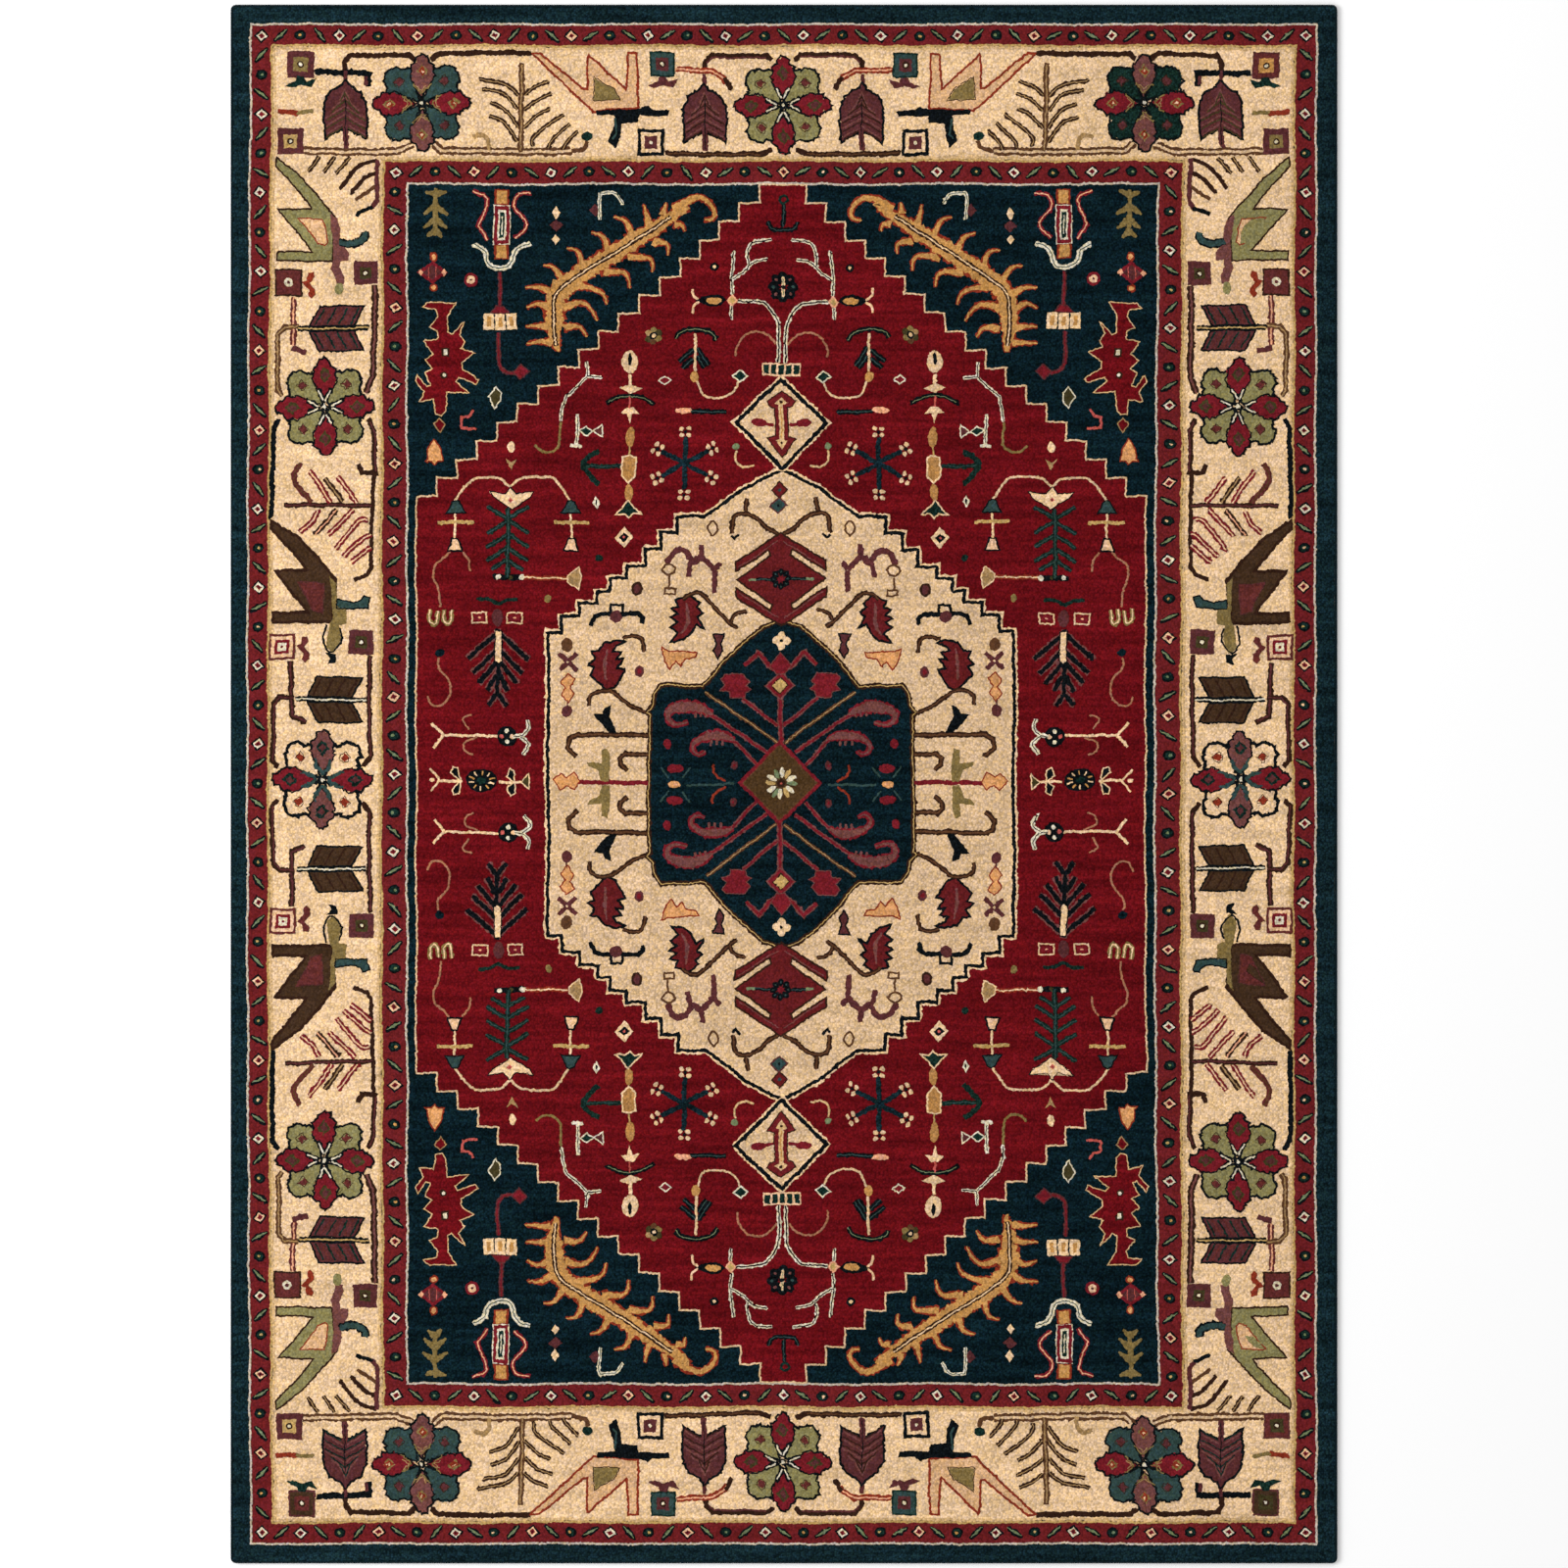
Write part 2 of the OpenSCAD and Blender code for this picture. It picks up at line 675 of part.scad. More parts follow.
module field_piping() color("#cbb98c") pile() intersection() {
    difference() {
        polygon(around(grown(field_quadrant, row_w)));
        polygon(around(field_quadrant));
    }
    panel(field_out);
}
module field_pile() color("#8c0f1c") pile() difference() {
    polygon(around(field_quadrant));
    polygon(around(grown(medallion_quadrant, medallion_edge_w)));
    at_both_ends() pendant_outline(pendant_line_w);
    field_motifs();
}
module field_candelabra() color("#d9c69c") pile() at_both_ends() candelabrum();
module field_flowers() color("#a9864c") pile() flowers();
module field_totems() color("#c9953f") pile() in_quarters() totem();
module field_stars() color("#173a3c") pile() star_places() star();
module field_ferns() color("#2c5a44") pile() in_quarters() fern();
module field_arches() color("#cdbb90") pile() {
    in_quarters() arch();
    twigs();
}
module field_spiders() color("#14262b") pile() in_quarters() spider();

medallion_edge_w = 11;
medallion_dark_w = 7;
pendant_line_w = 8;
module medallion_piping() color("#d8cba6") pile() difference() {
    polygon(around(grown(medallion_quadrant, medallion_edge_w)));
    polygon(around(grown(medallion_quadrant, medallion_dark_w)));
    at_both_ends() pendant_outline(pendant_line_w);
}
module medallion_outline() color("#191515") pile() difference() {
    polygon(around(grown(medallion_quadrant, medallion_dark_w)));
    polygon(around(medallion_quadrant));
    at_both_ends() pendant_outline(pendant_line_w);
}
module medallion_ground() difference() {
    polygon(around(medallion_quadrant));
    polygon(around(grown(centre_quadrant, centre_line_w)));
    at_both_ends() pendant_outline(pendant_line_w);
}
module medallion_pile() color("#e6cc9c") pile() difference() {
    medallion_ground();
    medallion_motifs();
}
module medallion_leaves() color("#8c1c22") pile() medallion_sprigs();
module medallion_branches() color("#4b3a24") pile() difference() {
    medallion_twigs();
    medallion_sprigs();
}
module medallion_eyes() color("#7d1c28") pile() at_both_ends() eye();
module pendant_outlines() color("#191515") pile() at_both_ends() difference() {
    pendant_outline(pendant_line_w);
    pendant_outline(0);
}
module pendants() color("#e6cc9c") pile() at_both_ends() pendant_outline(0);

centre_line_w = 8;
module centre_outline() color("#8a6a34") pile() difference() {
    polygon(around(grown(centre_quadrant, centre_line_w)));
    polygon(around(centre_quadrant));
}
module centre_pile() color("#0b1f2c") pile() difference() {
    polygon(around(centre_quadrant));
    centre_motifs();
}
module centre_curls() color("#7b3c46") pile() difference() {
    centre_motifs();
    rotate(45) panel([diamond_r, diamond_r] / sqrt(2));
}
flower_r = 40;
module centre_diamond() color("#5f4c22") pile() difference() {
    rotate(45) panel([diamond_r, diamond_r] / sqrt(2));
    circle(flower_r, $fn = 48);
}
module centre_flower() color("#d9d2b4") pile() circle(flower_r, $fn = 48);

secondary_backing();
backing_tape_top();
backing_tape_bottom();
backing_tape_left();
backing_tape_right();
canvas_hem();
latex_layer();
primary_backing();
edge_binding_top();
edge_binding_bottom();
edge_binding_left();
edge_binding_right();
outer_border_top();
outer_border_bottom();
outer_border_left();
outer_border_right();
outer_piping();
outer_guard_pile();
outer_guard_bars();
outer_guard_discs();
outer_guard_rings();
main_border_edge_rows();
main_border_pile();
border_rosette_axis_petals();
border_rosette_diagonal_petals();
border_leaves();
border_birds();
border_squares();
border_square_hearts();
border_vines();
border_sprays();
inner_guard_pile();
inner_guard_bars();
inner_guard_discs();
inner_guard_rings();
inner_piping();
spandrel_left_pile();
spandrel_right_pile();
spandrel_feathers();
spandrel_leaves();
spandrel_lanterns();
spandrel_plants();
field_piping();
field_pile();
field_candelabra();
field_flowers();
field_totems();
field_stars();
field_ferns();
field_arches();
field_spiders();
medallion_piping();
medallion_outline();
medallion_pile();
medallion_leaves();
medallion_branches();
medallion_eyes();
pendant_outlines();
pendants();
centre_outline();
centre_pile();
centre_curls();
centre_diamond();
centre_flower();
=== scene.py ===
import math
import random

import bpy
import numpy as np
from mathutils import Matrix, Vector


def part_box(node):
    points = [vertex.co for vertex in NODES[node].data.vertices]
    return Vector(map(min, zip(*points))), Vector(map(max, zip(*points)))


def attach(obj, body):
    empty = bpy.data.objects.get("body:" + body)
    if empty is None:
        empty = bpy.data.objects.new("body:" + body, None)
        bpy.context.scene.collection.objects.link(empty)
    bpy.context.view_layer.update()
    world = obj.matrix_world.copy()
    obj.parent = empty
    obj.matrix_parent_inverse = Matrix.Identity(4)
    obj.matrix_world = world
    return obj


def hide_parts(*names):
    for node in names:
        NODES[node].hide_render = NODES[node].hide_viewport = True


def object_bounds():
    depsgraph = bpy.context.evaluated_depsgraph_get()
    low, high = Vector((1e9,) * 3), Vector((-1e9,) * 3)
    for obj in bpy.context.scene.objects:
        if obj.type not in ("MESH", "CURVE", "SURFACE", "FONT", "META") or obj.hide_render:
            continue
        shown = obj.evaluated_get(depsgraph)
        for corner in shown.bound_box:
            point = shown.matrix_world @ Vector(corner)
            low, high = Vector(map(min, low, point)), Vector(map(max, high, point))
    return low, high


# ---------- the frame ----------

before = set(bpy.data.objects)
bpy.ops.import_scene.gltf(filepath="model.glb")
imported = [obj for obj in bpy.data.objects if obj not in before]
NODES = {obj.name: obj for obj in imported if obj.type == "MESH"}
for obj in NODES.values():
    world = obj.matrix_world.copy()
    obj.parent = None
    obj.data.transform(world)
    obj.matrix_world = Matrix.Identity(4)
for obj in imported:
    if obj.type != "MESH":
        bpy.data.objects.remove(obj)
cad_low, cad_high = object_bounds()
SEED = 7

HALF_W, HALF_L, TOP = cad_high
SPAN = (120, 169)  # the pattern is drawn in centimetres, on a rug of this half width and length
CM = HALF_W / SPAN[0]
MM = CM / 10
CLOTH_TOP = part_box("secondary_backing")[1].z
PILE_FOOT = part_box("field_pile")[0].z
BINDING_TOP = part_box("edge_binding_top")[1].z
GROUND_TOP = TOP - 1.3 * MM  # the plain ground lies a little under the figures
BINDING_W = HALF_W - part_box("outer_border_right")[1].x

SIDES = ("top", "bottom", "left", "right")

# Half width and half length of the bands' outer and inner edges, in cm
EDGE = (119.4, 168.4)
BORDER_IN = (115.7, 164.9)
GUARD_OUT = (115.2, 164.4)
GUARD_IN = (110.9, 160.1)
MAIN_OUT = (110.4, 159.6)
MAIN_IN = (87.2, 135.6)
INNER_OUT = (86.6, 135.0)
INNER_IN = (81.9, 130.3)
FIELD_OUT = (81.4, 129.8)

# Yarn colours, in linear RGB
YARNS = {
    "petrol": (0.0068, 0.0208, 0.0266),
    "navy": (0.0034, 0.0132, 0.0184),
    "ink": (0.005, 0.007, 0.0085),
    "umber": (0.03, 0.012, 0.007),
    "bark": (0.05, 0.025, 0.0125),
    "brown": (0.095, 0.04, 0.018),
    "tan": (0.33, 0.2, 0.085),
    "straw": (0.46, 0.295, 0.105),
    "sand": (0.6, 0.39, 0.19),
    "clay": (0.33, 0.145, 0.08),
    "gold": (0.48, 0.24, 0.072),
    "ochre": (0.39, 0.19, 0.06),
    "orange": (0.62, 0.29, 0.11),
    "olive": (0.195, 0.135, 0.046),
    "sage": (0.225, 0.198, 0.08),
    "moss": (0.048, 0.038, 0.014),
    "bronze": (0.064, 0.033, 0.0125),
    "leafgreen": (0.15, 0.19, 0.095),
    "forest": (0.008, 0.026, 0.02),
    "teal": (0.028, 0.056, 0.052),
    "red": (0.16, 0.011, 0.017),
    "garnet": (0.112, 0.011, 0.0125),
    "crimson": (0.126, 0.0045, 0.0073),
    "guard_red": (0.135, 0.0125, 0.0145),
    "rust": (0.22, 0.028, 0.013),
    "maroon": (0.09, 0.024, 0.025),
    "wine": (0.108, 0.023, 0.021),
    "mauve": (0.15, 0.052, 0.046),
    "rose": (0.45, 0.085, 0.07),
    "pink": (0.7, 0.33, 0.19),
    "peach": (0.63, 0.375, 0.195),
    "shell": (0.72, 0.45, 0.265),
    "ivory": (0.745, 0.505, 0.29),
    "cream": (0.643, 0.436, 0.252),
    "white": (0.66, 0.58, 0.42),
    "chalk": (0.5, 0.42, 0.33),
}


# ---------- where a drawn point lies on the rug ----------

# How far the pattern bows to one side half way along the rug, in cm: (x, bow)
BOW = ((-115, -1.1), (-87, -0.6), (-80, 0.1), (-30, 0.1), (0, -0.7), (30, -1.3), (79, -1.6),
       (87, -0.6), (115, -0.4))
HOLD = 40  # a high power: the lines run true only close to the rim
LONG_DRIFT, SHORT_DRIFT = 0.15, 0.08  # how far a line wanders, in cm
LONG_SWELL, SHORT_SWELL = 0.32, 0.18  # how far the pile rises and falls, in mm


def settle(x, y):
    """Where a drawn point, in cm, lies on the hand-tufted rug, in metres: its lines bow and wander."""
    held = (1 - min(1, abs(x) / SPAN[0]) ** HOLD) * (1 - min(1, abs(y) / SPAN[1]) ** HOLD)
    bow = float(np.interp(x, *zip(*BOW))) * math.cos(math.pi * y / (2 * SPAN[1]))
    drift_x = (LONG_DRIFT * math.sin(0.19 * y + 0.07 * x + 1)
               + SHORT_DRIFT * math.sin(0.83 * y + 0.4 * x))
    drift_y = (LONG_DRIFT * math.sin(0.17 * x - 0.05 * y + 2)
               + SHORT_DRIFT * math.sin(0.97 * x - 0.3 * y))
    return (x + held * (bow + drift_x)) * CM, (y + held * drift_y) * CM


def swell(x, y):
    """The slow rise and fall of the pile over the floor, in metres, at a point in metres."""
    long_wave = math.sin(4.6 * x + 1) * math.cos(4.1 * y + 0.4)
    short_wave = math.sin(13 * x + 2 * y) * math.sin(11 * y + 2)
    return (LONG_SWELL * long_wave + SHORT_SWELL * short_wave) * MM


# ---------- tufted shapes ----------

STEP = 0.42  # spacing of the points along an outline, about one tuft, in cm
CREST = 0.10  # how far a shape's top draws in from its sides, in cm
LINE_CREST = 0.45  # the most of a line's half width that its crest draws in
PATCH_CREST = 0.25  # the same for a patch, of the side of a square half its size
CORNER = 1.5  # the most that a corner is drawn out
LINE_END = 0.62  # width of a line's last tuft, next to the others
THIN, THICK = 0.78, 1.2  # the least and most of a line's width, tuft by tuft

# Heights: a shape's shoulder and foot under its top, and its top over the ground
SHOULDER = 0.55 * MM
SKIRT = 1.25 * MM
FIRST_RISE = 0.30 * MM
LEVEL_RISE = 0.22 * MM
ORDER_RISE = 0.015 * MM  # a shape lies this much over the one drawn before it

WANDER = 0.07  # how far a tuft strays from its line, in cm
RAGGED = 0.15  # the same round the large flowers
LEAF_RAGGED = 0.12  # and round the arrow leaves

meshes = {}  # (zone, yarn) to [vertices, faces]
tuft_rng = random.Random(SEED)


def add_faces(zone, yarn, verts, faces):
    """Adds a closed shape to what is drawn in one zone and yarn."""
    store = meshes.setdefault((zone, yarn), [[], []])
    first = len(store[0])
    store[0].extend(verts)
    store[1].extend([tuple(first + i for i in face) for face in faces])


def paired(xy):
    """A flat list of numbers as points."""
    return list(zip(xy[0::2], xy[1::2]))


def flat(points):
    """Points as a flat list of numbers."""
    return [v for point in points for v in point]


def moved(x, y, *xy):
    """The points of a shape drawn about (0, 0), moved to (x, y)."""
    return flat((x + dx, y + dy) for dx, dy in paired(xy))


def mirrored(*xy):
    """A closed outline from its left or right half, which starts and ends on x = 0."""
    half = paired(xy)
    return flat(half + [(-x, y) for x, y in reversed(half) if x])


def curved(points, loop):
    """A smooth curve through the points (Catmull-Rom)."""
    n = len(points)
    out = []
    for i in range(n if loop else n - 1):
        if loop:
            a, b, c, d = (points[(i + k) % n] for k in (-1, 0, 1, 2))
        else:
            a, b, c, d = (points[min(max(i + k, 0), n - 1)] for k in (-1, 0, 1, 2))
        cuts = max(2, math.ceil(math.dist(b, c) / STEP))
        for k in range(cuts):
            t = k / cuts
            out.append(tuple(
                0.5 * (2 * q + (r - p) * t + (2 * p - 5 * q + 4 * r - s) * t * t
                       + (3 * q - 3 * r + s - p) * t ** 3)
                for p, q, r, s in zip(a, b, c, d)))
    return out if loop else out + [points[-1]]


def divided(points, loop):
    """The same outline with a point about every tuft."""
    out = []
    pairs = list(zip(points, points[1:] + points[:1])) if loop else list(zip(points, points[1:]))
    for a, b in pairs:
        cuts = max(1, round(math.dist(a, b) / STEP))
        out.extend(
            (a[0] + (b[0] - a[0]) * k / cuts, a[1] + (b[1] - a[1]) * k / cuts)
            for k in range(cuts))
    return out if loop else out + [points[-1]]


def sideways(points, loop):
    """The direction to the left of an outline at each point, lengthened at corners."""
    n = len(points)
    out = []
    for i in range(n):
        before = points[i - 1] if loop or i else points[0]
        after = points[(i + 1) % n] if loop or i < n - 1 else points[-1]
        ux, uy = points[i][0] - before[0], points[i][1] - before[1]
        vx, vy = after[0] - points[i][0], after[1] - points[i][1]
        lu, lv = math.hypot(ux, uy) or 1, math.hypot(vx, vy) or 1
        nx, ny = -(uy / lu + vy / lv), ux / lu + vx / lv
        size = math.hypot(nx, ny) or 1
        stretch = min(CORNER, 2 / size)
        out.append((nx / size * stretch, ny / size * stretch))
    return out


class Brush:
    """Draws tufted shapes in one zone. Drawn coordinates are in cm in the upper left quadrant;
    flips take them to the other three. origin and turn place a motif drawn about (0, 0)."""

    def __init__(self, zone, flip_x=1, flip_y=1, level=0, origin=(0, 0), turn=0, swap=None):
        self.zone, self.flip_x, self.flip_y = zone, flip_x, flip_y
        self.level, self.origin, self.turn = level, origin, turn
        self.swap = swap or {}
        self.order = 0
        self.rough = WANDER

    def at(self, x, y, turn=0):
        """A brush for a motif drawn about (x, y), turned anticlockwise in degrees."""
        other = Brush(self.zone, self.flip_x, self.flip_y, self.level, (x, y), turn, self.swap)
        other.order, other.rough = self.order, self.rough
        return other

    def spots(self, points):
        """Drawn points to places on the rug, in metres, each tuft a little off its line."""
        c, s = math.cos(math.radians(self.turn)), math.sin(math.radians(self.turn))
        ox, oy = self.origin
        out = []
        for x, y in points:
            px = (x * c - y * s + ox) * self.flip_x
            py = (x * s + y * c + oy) * self.flip_y
            out.append(settle(px + tuft_rng.gauss(0, self.rough),
                              py + tuft_rng.gauss(0, self.rough)))
        return out

    def height(self):
        """The top of the next shape: each one lies a little over the one before."""
        self.order += 1
        return GROUND_TOP + FIRST_RISE + self.level * LEVEL_RISE + self.order * ORDER_RISE

    def yarn(self, name):
        """The yarn used here: a quadrant may swap one for another."""
        return self.swap.get(name, name)

    def line(self, yarn, width, *xy, bend=False, loop=False):
        """A line of tufts, width cm wide, or a list of widths from its start to its end."""
        points = paired(xy)
        points = curved(points, loop) if bend else divided(points, loop)
        path = self.spots(points)
        left = sideways(path, loop)
        z = self.height()
        n = len(path)
        widths = width if isinstance(width, (list, tuple)) else [width]
        stops = np.linspace(0, n - 1, len(widths))
        verts = []
        for i, ((px, py), (sx, sy)) in enumerate(zip(path, left)):
            half = float(np.interp(i, stops, widths)) / 2 * CM * tuft_rng.uniform(THIN, THICK)
            crest = half - min(CREST * CM, half * LINE_CREST)
            end = LINE_END if not loop and i in (0, n - 1) else 1
            top = z + swell(px, py)
            for across, up in (
                    (-half, -SKIRT), (-half, -SHOULDER), (-crest, 0),
                    (crest, 0), (half, -SHOULDER), (half, -SKIRT)):
                verts.append((px + sx * across * end, py + sy * across * end, top + up))
        faces = []
        for i in range(n if loop else n - 1):
            a, b = 6 * i, 6 * ((i + 1) % n)
            for k in range(6):
                m = (k + 1) % 6
                faces.append((a + k, a + m, b + m, b + k))
        if not loop:
            faces.append(tuple(range(5, -1, -1)))
            faces.append(tuple(range(6 * (n - 1), 6 * n)))
        add_faces(self.zone, self.yarn(yarn), verts, faces)

    def patch(self, yarn, *xy, bend=False):
        """A filled area of one yarn."""
        points = paired(xy)
        points = curved(points, True) if bend else divided(points, True)
        path = self.spots(points)
        area = sum(a[0] * b[1] - b[0] * a[1] for a, b in zip(path, path[1:] + path[:1]))
        if area < 0:
            path.reverse()
        left = sideways(path, True)
        z = self.height()
        n = len(path)
        inset = min(CREST * CM, PATCH_CREST * math.sqrt(abs(area) / 2))
        verts = []
        for (px, py), (sx, sy) in zip(path, left):
            top = z + swell(px, py)
            verts.append((px, py, top - SKIRT))
            verts.append((px, py, top - SHOULDER))
            verts.append((px + sx * inset, py + sy * inset, top))
        faces = [
            (3 * i + k, 3 * ((i + 1) % n) + k, 3 * ((i + 1) % n) + k + 1, 3 * i + k + 1)
            for i in range(n) for k in (0, 1)]
        faces.append(tuple(range(2, 3 * n, 3)))
        faces.append(tuple(range(3 * n - 3, -1, -3)))
        add_faces(self.zone, self.yarn(yarn), verts, faces)

    def edged(self, edge, fill, *xy, width=0.5, bend=False):
        """A filled area with a line of tufts round it."""
        self.patch(fill, *xy, bend=bend)
        self.line(edge, width, *xy, bend=bend, loop=True)

    def double(self, edge, core, width, *xy, share=0.42, bend=False, loop=False):
        """A line of one yarn between two of another; share is the inner one's part of the width."""
        self.line(edge, width, *xy, bend=bend, loop=loop)
        self.line(core, width * share, *xy, bend=bend, loop=loop)

    def dot(self, yarn, x, y, rx, ry=None):
        """A round or oval patch."""
        ry = ry or rx
        count = max(8, round(2 * math.pi * max(rx, ry) / STEP))
        ring = []
        for k in range(count):
            angle = 2 * math.pi * k / count
            ring += [x + rx * math.cos(angle), y + ry * math.sin(angle)]
        self.patch(yarn, *ring)

    def diamond(self, yarn, x, y, rx, ry=None):
        ry = ry or rx
        self.patch(yarn, x, y + ry, x - rx, y, x, y - ry, x + rx, y)

    def block(self, yarn, x, y, half_w, half_h=None):
        half_h = half_h or half_w
        self.patch(yarn, x - half_w, y - half_h, x + half_w, y - half_h,
                   x + half_w, y + half_h, x - half_w, y + half_h)

    def frame(self, yarn, width, half_w, half_h):
        """A rectangular line all round the middle of the rug."""
        self.line(yarn, width, -half_w, -half_h, half_w, -half_h, half_w, half_h, -half_w, half_h,
                  loop=True)


def nested(draw, x, y, *layers):
    """Dots, diamonds or blocks one on another about (x, y): a yarn and a size for each."""
    for yarn, *size in layers:
        draw(yarn, x, y, *size)


def quarters(zone, level=0, swaps=None):
    """A brush for each quadrant: upper left, upper right, lower left, lower right."""
    swaps = swaps or {}
    return [
        Brush(zone, flip_x, flip_y, level, swap=swaps.get(name))
        for name, flip_x, flip_y in (("ul", 1, 1), ("ur", -1, 1), ("ll", 1, -1), ("lr", -1, -1))]


def ends(zone, level=0):
    """A brush for each end of the middle line: the top and the bottom."""
    return [Brush(zone, 1, 1, level), Brush(zone, 1, -1, level)]


def sides(zone, level=0):
    """A brush for each end of the cross line: left and right."""
    return [Brush(zone, 1, 1, level), Brush(zone, -1, 1, level)]


# ---------- grounds ----------

FIELD_STEPS = 17
FIELD_TOP_W = 5.0
FIELD_SIDE = (79.8, 62.5)


def field_quadrant():
    """The stepped edge of the field in the upper left quadrant, from the top to the side."""
    dx = (FIELD_SIDE[0] - FIELD_TOP_W) / FIELD_STEPS
    dy = (FIELD_OUT[1] - FIELD_SIDE[1]) / FIELD_STEPS
    points = []
    for i in range(FIELD_STEPS):
        x = -FIELD_TOP_W - i * dx
        points += [(x, FIELD_OUT[1] - i * dy), (x, FIELD_OUT[1] - (i + 1) * dy)]
    return points + [(-FIELD_SIDE[0], FIELD_SIDE[1])]


MEDALLION_QUADRANT = paired((
    0, 68.3, -8, 64.3, -13, 60.5, -17, 57.9, -23, 57.9, -23, 54.4, -26.8, 54.4, -26.8, 50.8,
    -30.2, 50.8, -30.2, 47.2, -34.3, 47.2, -34.3, 44.6, -37.8, 44.6, -37.8, 41.8, -40.5, 41.8,
    -40.5, 39.3, -44.4, 39.3, -44.4, 36.5, -48.2, 36.5, -48.2, 33, -51.2, 33))
CENTRE_QUADRANT = paired((
    0, 35.5, -4, 34.2, -8.5, 30.5, -13, 26.3, -16, 22.5, -17.3, 21.3, -26.8, 21.5, -28.2, 19.3,
    -28.6, 17, -30, 15.5, -29.3, 15))
PENDANT = (78.3, 10, 9.5)  # its middle along the rug, half width and half height
GRAIN = 0.25  # how uneven the ground is, tuft by tuft, in mm
RIM_W = 6 * MM  # the ground rounds off over this width at the rim of the rug
RIM_DROP = 0.9  # and this far down, in mm


def all_round(quadrant):
    """A closed outline from its upper left quadrant."""
    lower = [(x, -y) for x, y in reversed(quadrant)]
    left = quadrant + lower
    outline = left + [(-x, y) for x, y in reversed(left) if x]
    return [p for i, p in enumerate(outline) if i == 0 or p != outline[i - 1]]


def inside(outline, x, y):
    """Which of the points x, y (arrays, in cm) lie inside an outline."""
    result = np.zeros(x.shape, bool)
    for (ax, ay), (bx, by) in zip(outline, outline[1:] + outline[:1]):
        if ay != by:
            crosses = (ay > y) != (by > y)
            result ^= crosses & (x < (bx - ax) * (y - ay) / (by - ay) + ax)
    return result


def in_frame(half, x, y):
    return (abs(x) < half[0]) & (abs(y) < half[1])


def grid_lines(reach, cuts, step):
    """Lines across a ground from -reach to reach, through every cut, at most step apart."""
    marks = sorted({round(s * c, 4) for c in cuts for s in (-1, 1) if c <= reach} | {-reach, reach})
    lines = [marks[0]]
    for a, b in zip(marks, marks[1:]):
        count = max(1, math.ceil((b - a) / step))
        lines += [a + (b - a) * k / count for k in range(1, count + 1)]
    return lines


def ground(zone, yarn, covers, reach, cuts_x, cuts_y, step=0.85):
    """The plain pile of one zone: a closed slab of small cells, wherever covers(x, y) is true."""
    xs, ys = grid_lines(reach[0], cuts_x, step), grid_lines(reach[1], cuts_y, step)
    mid_x = (np.array(xs[1:]) + xs[:-1]) / 2
    mid_y = (np.array(ys[1:]) + ys[:-1]) / 2
    filled = covers(*np.meshgrid(mid_x, mid_y, indexing="ij"))
    rng = random.Random(SEED)
    index, verts, faces = {}, [], []

    def corner(i, j):
        if (i, j) not in index:
            index[i, j] = len(verts)
            x, y = settle(xs[i], ys[j])
            top = GROUND_TOP + swell(x, y) - rng.uniform(0, GRAIN) * MM
            edge_gap = min(HALF_W - abs(x), HALF_L - abs(y)) - BINDING_W
            top -= max(0, 1 - edge_gap / RIM_W) ** 2 * RIM_DROP * MM
            verts.extend([(x, y, top), (x, y, PILE_FOOT)])
        return index[i, j]

    for i, j in zip(*np.nonzero(filled)):
        a, b, c, d = corner(i, j), corner(i + 1, j), corner(i + 1, j + 1), corner(i, j + 1)
        faces += [(a, b, c, d), (a + 1, d + 1, c + 1, b + 1)]
        for di, dj, p, q in ((0, -1, a, b), (1, 0, b, c), (0, 1, c, d), (-1, 0, d, a)):
            ni, nj = i + di, j + dj
            open_side = not (0 <= ni < len(mid_x) and 0 <= nj < len(mid_y)) or not filled[ni, nj]
            if open_side:
                faces.append((p, p + 1, q + 1, q))
    add_faces(zone, yarn, verts, faces)


def band(outer, inner):
    return lambda x, y: in_frame(outer, x, y) & ~in_frame(inner, x, y)


FIELD_QUADRANT = field_quadrant()
FIELD = all_round(FIELD_QUADRANT)
MEDALLION = all_round(MEDALLION_QUADRANT)
CENTRE = all_round(CENTRE_QUADRANT)


def pendant_cover(x, y):
    mid, half_w, half_h = PENDANT
    return abs(x) / half_w + abs(abs(y) - mid) / half_h < 1


def cuts_along(quadrant):
    """Where a ground is cut to follow an outline: the x and the y of its corners."""
    return [abs(x) for x, _ in quadrant], [abs(y) for _, y in quadrant]


def make_grounds():
    for zone, yarn, outer, inner in (
            ("outer_border", "petrol", EDGE, BORDER_IN),
            ("outer_guard", "guard_red", GUARD_OUT, GUARD_IN),
            ("main_border", "ivory", MAIN_OUT, MAIN_IN),
            ("inner_guard", "guard_red", INNER_OUT, INNER_IN)):
        ground(zone + "_ground", yarn, band(outer, inner), outer, (inner[0],), (inner[1],))
    steps_x, steps_y = cuts_along(FIELD_QUADRANT)
    for zone, side in (("spandrel_left_ground", -1), ("spandrel_right_ground", 1)):
        ground(zone, "navy", lambda x, y: ~inside(FIELD, x, y) & (x * side > 0),
               FIELD_OUT, steps_x + [0], steps_y)
    ground("field_ground", "crimson",
           lambda x, y: inside(FIELD, x, y) & ~inside(MEDALLION, x, y) & ~pendant_cover(x, y),
           (max(steps_x), max(steps_y)), steps_x, steps_y)
    steps_x, steps_y = cuts_along(MEDALLION_QUADRANT)
    ground("medallion_ground", "cream",
           lambda x, y: inside(MEDALLION, x, y) & ~inside(CENTRE, x, y),
           (max(steps_x), max(steps_y)), steps_x, steps_y, 0.7)
    mid, half_w, half_h = PENDANT
    ground("pendant_ground", "cream", pendant_cover, (half_w, mid + half_h), (0,),
           (mid - half_h, mid), 0.6)
    ground("centre_ground", "navy", lambda x, y: inside(CENTRE, x, y), (30, 35.5),
           (29.3,), (15, 21.4), 0.6)


